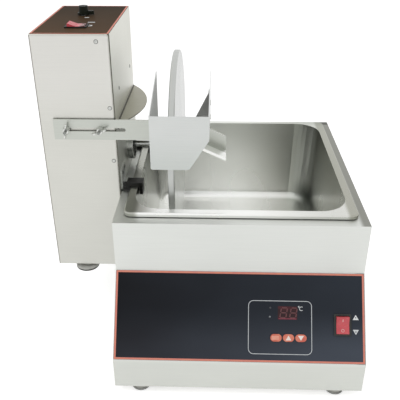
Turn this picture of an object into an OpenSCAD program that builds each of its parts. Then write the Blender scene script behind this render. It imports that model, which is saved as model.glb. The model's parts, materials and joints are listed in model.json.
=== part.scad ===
// Chocolate melting pot: a heated stainless housing with a gastronorm pan and a
// dispensing wheel unit that hangs from the pan's rim on two hooks.
// X runs to the right, Y to the back and Z up. The finished part stands on z = 0,
// with the origin under the middle of its bounding box.

/* [Body] */
// Width of the heated housing
body_w = 350; // [330:5:420]
// Depth of the housing at its deck
body_d = 386; // [375:1:450]
// Height of the upright front above the console
upper_h = 76; // [55:1:110]
// Vertical drop of the sloping console
console_drop = 102; // [100:1:130]
// How far the console comes forward over its drop
console_out = 73; // [60:1:90]
// Height of the upright front below the console
lower_h = 49; // [30:1:80]
// Height of the feet
foot_h = 14; // [10:1:25]
// Thickness of the stainless sheet
sheet_t = 1.2; // [0.8:0.1:2]

/* [Pan] */
// Width of the deck beside the pan's rim
deck_side = 12.5; // [10:0.5:25]
// Depth of the deck before and behind the pan's rim
deck_end = 16; // [10:1:30]
// Depth of the pan from its rim to the underside of its floor
pan_depth = 150; // [100:5:150]
// Width of the pan's flat rim
pan_flange = 12; // [10:0.5:14]
// Radius of the pan's upright corners at the top
pan_corner_r = 40; // [30:1:50]
// How far each wall leans in from top to bottom
pan_draft = 8; // [2:1:12]
// Height of the rim's top above the deck
rim_h = 7; // [5:0.5:10]

/* [Wheel unit] */
// Width of the wheel unit's tower
tower_w = 106; // [95:1:120]
// Depth of the tower
tower_d = 192; // [180:1:220]
// Height of the tower
tower_h = 360; // [330:5:420]
// How far the tower's middle lies in front of the wheel's axis
tower_shift = 11; // [0:1:15]
// How far the tower reaches below the deck
tower_drop = 127; // [90:1:150]

/* [Wheel] */
// Air between the wheel's rim and the pan's front and back walls at the top
wheel_end_gap = 18; // [16:1:45]
// Thickness of the wheel
wheel_t = 9; // [6:0.5:14]
// Height of the wheel's axis above the deck
shaft_rise = 35; // [30:1:60]
// Diameter of the drive shaft
shaft_d = 10; // [8:0.5:12]
// Distance from the body's left side to the wheel's left face
wheel_x = 73.6; // [70:0.1:75]

/* [Scraper] */
// Distance from the body's left side to the guard's left plate
guard_x = 52; // [50:0.5:56]
// Width of the guard
guard_w = 79; // [79:0.5:95]
// Height of the guard's front plate
guard_h = 76; // [70:1:90]
// Depth of the guard
guard_d = 109; // [100:1:112]
// Height of the adjusting arm
arm_h = 30; // [24:1:36]
// Slope of the chute's floor
chute_slope = 25; // [15:1:35]

/* [Controls] */
// Length of a rocker switch's bezel
switch_l = 30; // [26:1:34]
// Width of a rocker switch's bezel
switch_w = 24; // [20:1:28]
// Diameter of the speed knob's grip
knob_d = 14; // [12:0.5:18]
// Length of an oval key
key_w = 15.6; // [12:0.2:16]
// Height of an oval key
key_h = 10.2; // [8:0.2:12]

/* [Hidden] */
$fn = 64;

// Shared clearances and small stock sizes
over = 1;            // overrun of every cut
touch_gap = 0.3;     // air between pieces that move past each other
fit_gap = 0.05;      // radial air of a running fit
screw_gap = 0.15;    // radial air round a fixed screw
film_t = 0.5;        // printed overlay
fillet_fn = 32;      // facets of the rounded corners inside a hull

// Colours
steel = [0.80, 0.80, 0.77];
bright_steel = [0.72, 0.74, 0.72];
shield_steel = [0.62, 0.61, 0.53];
panel_dark = [0.16, 0.17, 0.19];
panel_brown = [0.31, 0.26, 0.21];
rocker_red = [0.80, 0.20, 0.22];
key_red = [0.90, 0.42, 0.32];
black = [0.08, 0.08, 0.08];
foot_grey = [0.72, 0.72, 0.70];
motor_grey = [0.35, 0.36, 0.38];
cast_grey = [0.55, 0.56, 0.57];
window_red = [0.35, 0.05, 0.06];
board_green = [0.10, 0.35, 0.20];

// Levels and outline of the housing
deck_z = foot_h + lower_h + console_drop + upper_h;
console_top_z = deck_z - upper_h;
console_low_z = console_top_z - console_drop;
console_lean = atan2(console_out, console_drop);
console_l = norm([console_out, console_drop]);
base_lip = 12;       // width of the casing's turned-in bottom edge
base_inset = 3;      // the base cover stays this far inside the casing

// The tower's place beside the body, with the wheel's axis over the pan's middle
shaft_y = body_d / 2;
tower_gap = 0.5;     // air between the tower and the body's left side
tower_x1 = -tower_gap;
tower_x0 = tower_x1 - tower_w;
tower_y0 = shaft_y - tower_shift - tower_d / 2;
tower_y1 = tower_y0 + tower_d;
tower_z0 = deck_z - tower_drop;
tower_z1 = tower_z0 + tower_h;
seam = 0.9;          // dark seam between the front cover and the side plate
tower_lip = 11;      // return flanges behind the seams
top_lip = 16;        // flanges under the edges of the top plate

// Pan, tank and deck opening
pan_t = 0.8;
pan_x = body_w / 2;
pan_y = body_d / 2;
pan_w = body_w - 2 * deck_side;    // outer width of the rim
pan_d = body_d - 2 * deck_end;     // outer depth of the rim
pan_top_z = deck_z + rim_h;
pan_in_w = pan_w - 2 * pan_flange;
pan_in_d = pan_d - 2 * pan_flange;
pan_low_r = pan_corner_r - pan_draft / 2;
pan_fillet = 16;     // radius where the walls meet the floor
rim_r = 12;          // outer corner radius of the rim
rim_bend = 2.5;      // radius of the rim's rolled edge
rim_gap = 1.2;       // shadow gap between the rolled edge and the deck
tank_gap = 1.7;      // air between pan and tank at the top
tank_t = 1;
tank_w = pan_in_w + 2 * pan_t + 2 * tank_gap;
tank_d = pan_in_d + 2 * pan_t + 2 * tank_gap;
tank_r = pan_corner_r + pan_t + tank_gap;
tank_under = 8;      // space under the pan's floor
tank_depth = pan_depth - rim_h + tank_under;
tank_lip = 6;        // tank flange welded under the deck

// Wheel and shaft
shaft_z = deck_z + shaft_rise;
shaft_r = shaft_d / 2;
wheel_r = pan_in_d / 2 - wheel_end_gap;
wheel_wall = 1.5;
wheel_edge = 1;      // bevel of the wheel's rim
hub_r = 18;
hub_flange_r = 24;
hub_out = 9;         // hub stands out of each face by this
hub_flange_t = 3;
flange_r = 24.5;     // bearing flange on the tower's side
flange_t = 9;
flange_wall = 3.5;
flange_floor = 3;
flange_screw_ring = 17;
flange_screw_angles = [45 : 90 : 315];
nut_af = 17;         // nut across flats
nut_h = 8;
shaft_out = 3;       // shaft's end beyond the nut
shaft_tip = 1;       // bevel of the shaft's end
shaft_in = 36;       // shaft's reach into the gearbox

// Arm, studs and guard
arm_t = 2;
arm_gap = 1.5;       // the arm stands off the tower by this
arm_y1 = tower_y0 - arm_gap;
arm_y0 = arm_y1 - arm_t;
arm_rise = 102;      // arm's middle above the deck
arm_in = 19;         // arm's left end from the tower's left side
arm_z = deck_z + arm_rise;
arm_x0 = tower_x0 + arm_in;
slot_h = 5.2;
slot_out = 14;       // slot's right end beyond the tower
stud_r = 2;
stud_ins = [37.2, 84.4];
stud_xs = [for (d = stud_ins) tower_x0 + d];
stud_head_r = 3.5;
stud_head_h = 2;
stud_collar_r = 4.4;
stud_out = 14;       // stud's end beyond the arm
slot_x0 = stud_xs[0] - stud_r - touch_gap;
slot_x1 = tower_x1 + slot_out;
arm_slide = 21;      // how far the arm can slide left before the scraper meets the wheel
guard_t = 1.2;
guard_y = 35;        // front plate's place behind the body's top front edge
guard_rise = 64;     // guard's lower edge above the deck
guard_z0 = deck_z + guard_rise;
guard_z1 = guard_z0 + guard_h;
guard_peak = 29;     // side plates rise by this to their rear corner
guard_x1 = guard_x + guard_w;
guard_y1 = guard_y + guard_d;
chamfer_w = 26;      // cut-off corner of the front plate
chamfer_h = 43;
guard_corner_r = 3;
tab_l = 24;          // arm's bent tab along the left plate

// Chute and scraper plate
chute_t = 1.2;
chute_in = 29;       // chute's front edge behind the guard's front plate
chute_y0 = guard_y + chute_in;
chute_w = 30;
chute_y1 = chute_y0 + chute_w;
chute_x0 = wheel_x + wheel_t + arm_slide + touch_gap;
chute_out = 23;      // chute's end beyond the guard
chute_rise = 69;     // floor's height above the deck at the outer end
chute_x1 = guard_x1 + chute_out;
chute_z1 = deck_z + chute_rise;
chute_wall = 20;
chute_lip = 3;
hem_w = 4;
scraper_rise = 14.7; // scraper's top corner above the guard's front plate
scraper_peak = guard_z1 + scraper_rise;
scraper_edge_h = 11; // upright edge that faces the wheel
function floor_z(x) = chute_z1 + (chute_x1 - x) * tan(chute_slope);

// Hooks over the pan's rim
hook_t = 2;
cover_t = 1.5;
hook_w = 18;
hook_half = hook_t / 2 + cover_t;
hook_plate_w = 30;
hook_plate_h = 33;
hook_plate_shift = 5;
hook_screw_in = 5;   // screws from the plate's edges
hook_lip_share = 0.12;
hook_z0 = deck_z + touch_gap + hook_half;
hook_z1 = pan_top_z + hook_half;
rim_x0 = pan_x - pan_w / 2;
hook_x1 = rim_x0 - touch_gap - hook_half;
hook_x2 = rim_x0 + pan_flange + 2 * touch_gap + pan_draft * hook_lip_share + hook_half;
hook_lip = 14;       // lip's reach below the rim's top
hook_in = 20;        // from the tower's front or back to the hook's middle
hook_ys = [tower_y0 + hook_in, tower_y1 - hook_in];

// Feet
foot_r = 13;
foot_in_x = 35;
foot_in_y = 18;
foot_pad_h = 4;
foot_rim = 1.2;
foot_xs = [foot_in_x, body_w - foot_in_x];
foot_ys = [-console_out + foot_in_y, body_d - foot_in_x];
tower_foot_r = 18;
tower_foot_in_r = 10.6;
tower_foot_t = 6;
tower_foot_drop = 5;
tower_foot_x = tower_x0 + 0.4 * tower_w;
tower_foot_in = 12;

// Power inlets
inlet_w = 27;
inlet_h = 20;
inlet_flange_t = 2.5;
inlet_ear = 11;
inlet_l = 22;
inlet_pin_r = 1.6;
inlet_wall = 1.5;
inlet_r = 2;
inlet_rise = 45;     // inlet's middle above the casing's lower edge
body_inlet_x = 0.8 * body_w;
body_inlet_z = foot_h + inlet_rise;
tower_inlet_z = tower_z0 + inlet_rise;

// Console layout, in X and in distance down the slope
overlay_in = 1;
window_in = 107.6;   // window's middle from the body's right side
window_u = body_w - window_in;
window_v = 56.7;
window_w = 27;
window_h = 18;
corner_r = 1;        // small corner radius of windows, films and boards
key_pitch = 17.2;
key_shift = 1.2;     // middle key to the right of the window's middle
key_us = [for (i = [-1 : 1]) window_u + key_shift + i * key_pitch];
key_v = 90.8;
key_r = key_h / 2;
key_out = 0.9;
key_travel = 0.6;
key_stem = 5;
switch_in = 31.7;    // switch's middle from the body's right side
switch_u = body_w - switch_in;
switch_v = 71.7;
board_w = 110;
board_h = 84;
board_t = 1.6;
board_u = window_u + key_shift / 2;
board_v = 76;
board_deep = 14;     // board's face below the console's outside
post_r = 3;

// Rocker switches
bezel_t = 1.6;
bezel_wall = 3.2;
bezel_r = 1.5;
switch_deep = 16;
switch_shell = 1.4;
rocker_l = switch_l - 2 * bezel_wall;
rocker_w = switch_w - 2 * bezel_wall;
rocker_tilt = 8;
rocker_end_h = 4.6;
rocker_mid_h = 2.4;
rocker_keel = 5;
rocker_gap = 0.8;
pivot_r = 1.2;
pivot_l = 0.8;
terminal_t = 1;
terminal_w = 4;
terminal_l = 8;

// Tower top layout
tower_switch_in = [54.5, 44];
tower_switch_x = tower_x0 + tower_switch_in.x;
tower_switch_y = tower_y0 + tower_switch_in.y;
knob_in = [49, 120];
knob_x = tower_x0 + knob_in.x;
knob_y = tower_y0 + knob_in.y;
knob_h = 12;
knob_skirt_r = 9;
knob_skirt_h = 2.5;
pointer_l = 15;
pointer_w = 5;
pointer_h = 5;
pot_r = 12;
pot_h = 10;
pot_shaft_r = 3;
bush_r = 4.5;
bush_out = 1;        // bush above the overlay
knob_bore_l = 9;

// Origin under the middle of the bounding box
origin_x = (body_w + tower_x0) / 2;
origin_y = (body_d + inlet_flange_t - console_out) / 2;

// Outline of the body seen from the side, moved inwards by a wall
function body_outline(wall, low) = [
    [wall, deck_z - wall],
    [body_d - wall, deck_z - wall],
    [body_d - wall, low],
    [-console_out + wall, low],
    [-console_out + wall, console_low_z - wall * tan(console_lean / 2)],
    [wall, console_top_z - wall * tan(console_lean / 2)]
];

// Flat rounded rectangle about its middle
module rounded(w, d, r) {
    square([w - 2 * r, d], center = true);
    square([w, d - 2 * r], center = true);
    for (x = [-1, 1], y = [-1, 1])
        translate([x * (w / 2 - r), y * (d / 2 - r)]) circle(r);
}

// Slot or oval with round ends along X
module stadium(w, d) {
    square([w - d, d], center = true);
    for (s = [-1, 1])
        translate([s * (w - d) / 2, 0]) circle(d = d);
}

// Upright rounded block about its middle
module slab(w, d, r, h) {
    linear_extrude(h) rounded(w, d, r);
}

// Outline in Y and Z, drawn out along X from x = 0
module along_x(l) {
    rotate([90, 0, 90]) linear_extrude(l) children();
}

// Outline in X and Z, drawn out along Y from y = 0
module along_y(l) {
    translate([0, l, 0]) rotate([90, 0, 0]) linear_extrude(l) children();
}

module rod_x(r, l) {
    rotate([0, 90, 0]) cylinder(r = r, h = l);
}

// Rod from y = 0 towards the front
module rod_front(r, l) {
    rotate([90, 0, 0]) cylinder(r = r, h = l);
}

// Rod from y = 0 towards the back
module rod_back(r, l) {
    rotate([-90, 0, 0]) cylinder(r = r, h = l);
}

// A place on the console: u along X, v down the slope, local Z outwards
module on_console(u, v) {
    translate([u, 0, console_top_z]) rotate([90 - console_lean, 0, 0]) translate([0, -v, 0]) children();
}

// Domed screw head that stands on z = 0 with its shank below
module screw(head_r, head_h, shank_r, shank_l) {
    difference() {
        intersection() {
            cylinder(r = head_r, h = head_h);
            translate([0, 0, head_h - 2 * head_r]) sphere(r = 2 * head_r);
        }
        for (a = [0, 90])
            rotate([0, 0, a]) translate([-head_r * 0.6, -head_r * 0.11, head_h * 0.5])
                cube([head_r * 1.2, head_r * 0.22, head_h]);
    }
    translate([0, 0, -shank_l]) cylinder(r = shank_r, h = shank_l);
}

// Oval key outline: a rectangle with round ends
module key_outline(grow) {
    stadium(key_w + 2 * grow, key_h + 2 * grow);
}

// Base screws: places round the casing's turned-in bottom edge
base_screw_r = 1.5;
base_head_r = 3.2;
base_head_h = 1.8;
base_screw_l = 6;
base_screw_in = base_lip / 2 + sheet_t;
base_screw_shares = [0.22, 0.5, 0.78];
function base_screw_places() = [
    for (x = base_screw_shares, y = [-console_out + base_screw_in, body_d - base_screw_in]) [x * body_w, y],
    for (x = [base_screw_in, body_w - base_screw_in]) [x, pan_y]
];

// Vents: rows of slots at the back and under the base
vent_l = 30;
vent_h = 4;
vent_pitch = 9;
vent_count = 5;

module vent_slots() {
    for (i = [0 : vent_count - 1])
        translate([0, (i - (vent_count - 1) / 2) * vent_pitch]) stadium(vent_l, vent_h);
}

module body_casing() {
    color(steel) difference() {
        union() {
            difference() {
                along_x(body_w) polygon(body_outline(0, foot_h));
                translate([sheet_t, 0, 0]) along_x(body_w - 2 * sheet_t)
                    polygon(body_outline(sheet_t, foot_h + sheet_t));
            }
            // upstand round the opening that carries the pan's rim
            translate([pan_x, pan_y, deck_z - sheet_t])
                slab(tank_w + 2 * sheet_t, tank_d + 2 * sheet_t, tank_r + sheet_t,
                    sheet_t + rim_h - pan_t);
        }
        translate([pan_x, pan_y, deck_z - 2 * sheet_t])
            slab(tank_w, tank_d, tank_r, rim_h + 2 * sheet_t + over);
        translate([sheet_t + base_lip, sheet_t + base_lip - console_out, foot_h - over])
            cube([body_w - 2 * (sheet_t + base_lip), body_d + console_out - 2 * (sheet_t + base_lip),
                sheet_t + 2 * over]);
        for (p = base_screw_places())
            translate([p.x, p.y, foot_h - over])
                cylinder(r = base_screw_r + screw_gap, h = sheet_t + 2 * over);
        on_console(window_u, window_v) translate([0, 0, -2 * sheet_t])
            slab(window_w, window_h, corner_r, 2 * sheet_t + over);
        for (u = key_us)
            on_console(u, key_v) translate([0, 0, -2 * sheet_t])
                linear_extrude(2 * sheet_t + over) key_outline(touch_gap);
        on_console(switch_u, switch_v) translate([0, 0, -2 * sheet_t])
            switch_hole(2 * sheet_t + over);
        translate([body_inlet_x, body_d - 2 * sheet_t, body_inlet_z]) inlet_hole(2 * sheet_t + over);
        translate([body_w * 0.3, body_d - 2 * sheet_t, body_inlet_z]) along_y(2 * sheet_t + over)
            vent_slots();
    }
}

module base_cover() {
    wide = body_w - 2 * base_inset;
    deep = body_d + console_out - 2 * base_inset;
    color(steel) difference() {
        translate([body_w / 2, (body_d - console_out) / 2, foot_h - sheet_t])
            slab(wide, deep, base_inset, sheet_t);
        for (p = base_screw_places())
            translate([p.x, p.y, foot_h - sheet_t - over])
                cylinder(r = base_screw_r + screw_gap, h = sheet_t + 2 * over);
        for (x = foot_xs, y = foot_ys)
            translate([x, y, foot_h - sheet_t - over])
                cylinder(r = foot_stem_r + screw_gap, h = sheet_t + 2 * over);
        for (x = [0.35, 0.65])
            translate([x * body_w, pan_y, foot_h - sheet_t - over])
                linear_extrude(sheet_t + 2 * over) vent_slots();
    }
}

module base_screws() {
    color(bright_steel) for (p = base_screw_places())
        translate([p.x, p.y, foot_h - sheet_t]) mirror([0, 0, 1])
            screw(base_head_r, base_head_h, base_screw_r, base_screw_l);
}

module inner_tank() {
    color(bright_steel) translate([pan_x, pan_y, deck_z - sheet_t - tank_depth]) difference() {
        union() {
            slab(tank_w + 2 * tank_t, tank_d + 2 * tank_t, tank_r + tank_t, tank_depth);
            translate([0, 0, tank_depth - tank_t])
                slab(tank_w + 2 * tank_lip, tank_d + 2 * tank_lip, tank_r + tank_lip, tank_t);
        }
        translate([0, 0, tank_t]) slab(tank_w, tank_d, tank_r, tank_depth);
    }
}

// Tubular heater bent into four runs, clipped under the tank
heater_r = 3.2;
heater_runs = 4;
heater_pitch = 50;
heater_l = 200;
heater_z = deck_z - sheet_t - tank_depth - heater_r - fit_gap;
clip_w = 12;
clip_t = 1.5;

module heating_element() {
    color(bright_steel) translate([pan_x - heater_pitch * (heater_runs - 1) / 2, pan_y, heater_z]) {
        for (i = [0 : heater_runs - 1])
            translate([i * heater_pitch, heater_l / 2, 0]) rod_front(heater_r, heater_l);
        for (i = [0 : heater_runs - 2])
            translate([(i + 0.5) * heater_pitch, (i % 2 == 0 ? 1 : -1) * heater_l / 2, 0])
                rotate([0, 0, i % 2 == 0 ? 0 : 180])
                    rotate_extrude(angle = 180) translate([heater_pitch / 2, 0]) circle(heater_r);
        for (i = [0, heater_runs - 1])
            translate([i * heater_pitch, -heater_l / 2, 0]) rod_front(heater_r * 0.8, 3 * heater_r);
    }
}

probe_r = 3;
probe_l = 40;

module temperature_probe() {
    color(bright_steel) translate([pan_x, pan_y, heater_z + heater_r - probe_r]) {
        rod_back(probe_r, probe_l);
        translate([-clip_w, probe_l / 3, -probe_r - clip_t / 2]) cube([2 * clip_w, clip_w, clip_t]);
        for (x = [-clip_w, clip_w - clip_t])
            translate([x, probe_l / 3, -probe_r - clip_t / 2]) cube([clip_t, clip_w, 2 * probe_r + clip_t / 2]);
    }
}

// Circuit board behind the console with its relay, transformer and key switches
relay_w = 19;
relay_h = 15;

module control_board() {
    color(board_green) on_console(board_u, board_v) translate([0, 0, -board_deep - board_t]) {
        difference() {
            slab(board_w, board_h, corner_r, board_t);
            for (x = [-1, 1], y = [-1, 1])
                translate([x * (board_w / 2 - 2 * post_r), y * (board_h / 2 - 2 * post_r), -over])
                    cylinder(r = post_r / 2, h = board_t + 2 * over);
        }
        for (x = [-1, 1], y = [-1, 1])
            translate([x * (board_w / 2 - 2 * post_r), y * (board_h / 2 - 2 * post_r), board_t])
                difference() {
                    cylinder(r = post_r, h = board_deep - sheet_t);
                    translate([0, 0, -over]) cylinder(r = post_r / 2, h = board_deep - sheet_t);
                }
        // relay and transformer on the back
        translate([-board_w * 0.28, board_h * 0.1, -relay_h]) cube([relay_w, relay_w * 0.8, relay_h]);
        translate([board_w * 0.1, -board_h * 0.3, -relay_h * 1.4])
            cube([relay_w * 1.5, relay_w * 1.3, relay_h * 1.4]);
        // key switches under the three keys
        for (u = key_us)
            translate([u - board_u, board_v - key_v, board_t])
                slab(key_h * 0.6, key_h * 0.6, corner_r, board_deep - key_stem - key_travel - touch_gap);
    }
}

// Two-digit display that fills the console's window from behind
module display_module() {
    color(black) on_console(window_u, window_v)
        translate([0, 0, -board_deep])
            slab(window_w - 2 * overlay_in, window_h - 2 * overlay_in, corner_r, board_deep - sheet_t - touch_gap);
}

module display_window() {
    color(window_red) on_console(window_u, window_v)
        translate([0, 0, -sheet_t]) slab(window_w, window_h, corner_r, sheet_t + film_t);
}

module console_overlay() {
    color(panel_dark) on_console(body_w / 2, console_l / 2) difference() {
        slab(body_w - 2 * overlay_in, console_l - 2 * overlay_in, corner_r, film_t);
        translate([window_u - body_w / 2, console_l / 2 - window_v, -over])
            slab(window_w, window_h, corner_r, film_t + 2 * over);
        for (u = key_us)
            translate([u - body_w / 2, console_l / 2 - key_v, -over])
                linear_extrude(film_t + 2 * over) key_outline(touch_gap);
        translate([switch_u - body_w / 2, console_l / 2 - switch_v, -over]) switch_hole(film_t + 2 * over);
    }
}

// Rocker switch, drawn flat on z = 0 with its length along Y
module switch_hole(h) {
    slab(switch_w - 2 * switch_shell, switch_l - 2 * switch_shell, bezel_r, h);
}

module switch_housing() {
    shell_w = switch_w - 2 * switch_shell - 2 * screw_gap;
    shell_l = switch_l - 2 * switch_shell - 2 * screw_gap;
    difference() {
        union() {
            translate([0, 0, film_t]) slab(switch_w, switch_l, bezel_r, bezel_t);
            translate([0, 0, -switch_deep]) slab(shell_w, shell_l, bezel_r, switch_deep + film_t);
            for (x = [-1, 1])
                translate([x * shell_w / 4, 0, -switch_deep - terminal_l / 2])
                    cube([terminal_t, terminal_w, terminal_l], center = true);
        }
        translate([-rocker_w / 2 - touch_gap, -rocker_l / 2 - rocker_gap, -rocker_keel - 2 * rocker_gap])
            cube([rocker_w + 2 * touch_gap, rocker_l + 2 * rocker_gap, switch_deep]);
        // sockets of the rocker's pivots
        translate([-rocker_w / 2 - pivot_l - touch_gap, 0, 0])
            rod_x(pivot_r + fit_gap, rocker_w + 2 * pivot_l + 2 * touch_gap);
    }
}

// The rocker turns about the X axis through its own origin
module rocker() {
    rotate([rocker_tilt, 0, 0]) {
        translate([-rocker_w / 2, 0, 0]) along_x(rocker_w) polygon([
            [-rocker_l / 2, rocker_end_h], [0, rocker_mid_h], [rocker_l / 2, rocker_end_h],
            [rocker_l / 2, -pivot_r / 2], [rocker_keel, -rocker_keel], [-rocker_keel, -rocker_keel],
            [-rocker_l / 2, -pivot_r / 2]
        ]);
        translate([-rocker_w / 2 - pivot_l, 0, 0]) rod_x(pivot_r, rocker_w + 2 * pivot_l);
    }
}

module console_switch_housing() {
    color(black) on_console(switch_u, switch_v) switch_housing();
}

module console_rocker() {
    color(rocker_red) on_console(switch_u, switch_v) rocker();
}

// Key that slides square to the console
module key(u) {
    on_console(u, key_v) {
        translate([0, 0, -2 * sheet_t]) linear_extrude(2 * sheet_t + film_t + key_out) key_outline(0);
        translate([0, 0, -key_stem]) cylinder(r = key_r * 0.5, h = key_stem);
    }
}

module set_button() { color(key_red) key(key_us[0]); }
module up_button() { color(key_red) key(key_us[1]); }
module down_button() { color(key_red) key(key_us[2]); }

// Round foot: a pale cup above a rubber pad, held by a stem through the base
foot_stem_r = 4;

module body_feet() {
    color(foot_grey) for (x = foot_xs, y = foot_ys) translate([x, y, foot_pad_h]) {
        cylinder(r1 = foot_r - foot_rim, r2 = foot_r - 3 * foot_rim, h = foot_h - sheet_t - foot_pad_h);
        cylinder(r = foot_stem_r, h = foot_h + sheet_t);
    }
}

module foot_pads() {
    color(black) for (x = foot_xs, y = foot_ys) translate([x, y, 0])
        rotate_extrude() polygon([
            [0, 0], [foot_r - foot_rim, 0], [foot_r, foot_rim], [foot_r, foot_pad_h],
            [0, foot_pad_h]
        ]);
}

// Power inlet, drawn with its flange in the plane y = 0 and its body towards the front
module inlet_hole(l) {
    along_y(l) rounded(inlet_w + 2 * screw_gap, inlet_h + 2 * screw_gap, inlet_r);
}

module inlet() {
    difference() {
        union() {
            along_y(inlet_flange_t) rounded(inlet_w + 2 * inlet_ear, inlet_h + 2 * inlet_r, 2 * inlet_r);
            translate([0, -inlet_l, 0]) along_y(inlet_l) rounded(inlet_w, inlet_h, inlet_r);
        }
        translate([0, -inlet_l * 0.75, 0]) along_y(inlet_l + inlet_flange_t)
            rounded(inlet_w - 2 * inlet_wall, inlet_h - 2 * inlet_wall, inlet_r);
    }
    for (x = [-1, 0, 1])
        translate([x * inlet_w / 4, -inlet_l * 0.8, x == 0 ? inlet_pin_r : -inlet_pin_r])
            rod_back(inlet_pin_r, inlet_l * 0.65);
}

module body_power_inlet() {
    color(black) translate([body_inlet_x, body_d, body_inlet_z]) inlet();
}

// Inside and outside of the pan: upright round corners at the top, filleted floor
module pan_form(wall, top, deep) {
    w = pan_in_w + 2 * wall;
    d = pan_in_d + 2 * wall;
    low_r = pan_low_r + wall;
    hull() {
        for (x = [-1, 1], y = [-1, 1]) {
            translate([x * (w / 2 - pan_corner_r - wall), y * (d / 2 - pan_corner_r - wall), top - pan_t])
                cylinder(r = pan_corner_r + wall, h = pan_t, $fn = fillet_fn);
            translate([x * (w / 2 - pan_draft - low_r), y * (d / 2 - pan_draft - low_r), deep + pan_fillet + wall])
                rotate_extrude($fn = fillet_fn) translate([low_r - pan_fillet - wall, 0])
                    circle(pan_fillet + wall, $fn = fillet_fn);
        }
    }
}

// Rolled edge of the rim: one bend and one skirt, carried round all four corners
module rim_edge_outline() {
    translate([rim_r - rim_bend, rim_h - rim_bend]) intersection() {
        difference() {
            circle(rim_bend);
            circle(rim_bend - pan_t);
        }
        square(rim_bend);
    }
    translate([rim_r - pan_t, rim_gap]) square([pan_t, rim_h - rim_bend - rim_gap]);
}

module rim_edge() {
    w = pan_w - 2 * rim_r;
    d = pan_d - 2 * rim_r;
    for (i = [0 : 3])
        rotate([0, 0, 90 * i]) {
            side = i % 2 == 0 ? d : w;
            away = i % 2 == 0 ? w : d;
            translate([away / 2, side / 2, 0]) rotate([90, 0, 0]) linear_extrude(side) rim_edge_outline();
            translate([away / 2, side / 2, 0]) rotate_extrude(angle = 90) rim_edge_outline();
        }
}

module food_pan() {
    color(bright_steel) translate([pan_x, pan_y, 0]) {
        difference() {
            pan_form(pan_t, pan_top_z, pan_top_z - pan_depth);
            pan_form(0, pan_top_z + over, pan_top_z - pan_depth + pan_t);
        }
        translate([0, 0, pan_top_z - pan_t]) difference() {
            slab(pan_w - 2 * rim_bend, pan_d - 2 * rim_bend, rim_r - rim_bend, pan_t);
            translate([0, 0, -over]) slab(pan_in_w, pan_in_d, pan_corner_r, pan_t + 2 * over);
        }
        translate([0, 0, deck_z]) rim_edge();
    }
}

// Places of the tower's screws, in X and Z on the front and in Y and Z on the side
front_screw_ins = [[18, 9.5], [6.5, 100.5], [6.5, 180]];
front_screw_places = [for (d = front_screw_ins) [tower_x1 - d.x, tower_z1 - d.y]];
side_screw_rise = 146;
side_screw_ins = [48.4, 160.5];
side_screw_places = [for (d = side_screw_ins) [tower_y0 + d, deck_z + side_screw_rise]];
front_screw_r = 1.5;
front_head_r = 3;
front_head_h = 0.8;
front_screw_l = 5;
flange_bore_r = 12;
tower_vent_drop = 70;

// Round hole for a screw through a wall that stands square to X and ends at x = 0
module screw_hole_x(wall) {
    translate([-wall - over, 0, 0]) rod_x(front_screw_r + screw_gap, wall + 2 * over);
}

// Side plate, top plate and return flanges, folded from one sheet
module tower_casing() {
    lip_y = tower_y0 + sheet_t + touch_gap;
    color(steel) difference() {
        union() {
            translate([tower_x1 - sheet_t, tower_y0, tower_z0]) cube([sheet_t, tower_d, tower_h]);
            translate([tower_x0, tower_y0, tower_z1 - sheet_t]) cube([tower_w, tower_d, sheet_t]);
            translate([tower_x1 - tower_lip, lip_y, tower_z0]) cube([tower_lip, sheet_t, tower_h]);
            translate([tower_x1 - tower_lip, tower_y1 - 2 * sheet_t - touch_gap, tower_z0])
                cube([tower_lip, sheet_t, tower_h]);
            // lips under the three other edges of the top plate
            translate([tower_x0 + sheet_t + touch_gap, lip_y, tower_z1 - top_lip])
                cube([sheet_t, tower_d - 2 * (sheet_t + touch_gap), top_lip]);
            for (y = [lip_y, tower_y1 - 2 * sheet_t - touch_gap])
                translate([tower_x0 + sheet_t + touch_gap, y, tower_z1 - top_lip])
                    cube([tower_w - 2 * sheet_t, sheet_t, top_lip]);
        }
        translate([tower_x1 - 2 * sheet_t, shaft_y, shaft_z]) rod_x(flange_bore_r, 3 * sheet_t);
        translate([tower_switch_x, tower_switch_y, tower_z1 - 2 * sheet_t])
            rotate([0, 0, 90]) switch_hole(3 * sheet_t);
        translate([knob_x, knob_y, tower_z1 - 2 * sheet_t]) cylinder(r = bush_r + screw_gap, h = 3 * sheet_t);
        for (p = front_screw_places)
            translate([p.x, lip_y - over, p.y]) rod_back(front_screw_r + screw_gap, sheet_t + 2 * over);
        for (p = concat(side_screw_places, hook_screw_places(), flange_screw_places()))
            translate([tower_x1, p.x, p.y]) screw_hole_x(sheet_t);
    }
}

// Front, left and back walls, folded from one sheet
module tower_cover() {
    high = tower_h - sheet_t - touch_gap;
    wide = tower_w - sheet_t - seam;
    color(steel) difference() {
        translate([tower_x0, tower_y0, tower_z0]) cube([wide, tower_d, high]);
        translate([tower_x0 + sheet_t, tower_y0 + sheet_t, tower_z0 - over])
            cube([tower_w, tower_d - 2 * sheet_t, tower_h]);
        for (x = stud_xs)
            translate([x, tower_y0 - over, arm_z]) rod_back(stud_r + screw_gap, sheet_t + 2 * over);
        for (p = front_screw_places)
            translate([p.x, tower_y0 - over, p.y]) rod_back(front_screw_r + screw_gap, sheet_t + 2 * over);
        translate([tower_x0 + tower_w / 2, tower_y1 - 2 * sheet_t, tower_inlet_z]) inlet_hole(3 * sheet_t);
        translate([tower_x0 + tower_w / 2, tower_y1 - 2 * sheet_t, tower_z1 - tower_vent_drop]) along_y(3 * sheet_t)
            vent_slots();
    }
}

tower_foot_ys = [tower_y0 + tower_foot_in, tower_y1 - tower_foot_in];

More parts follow.
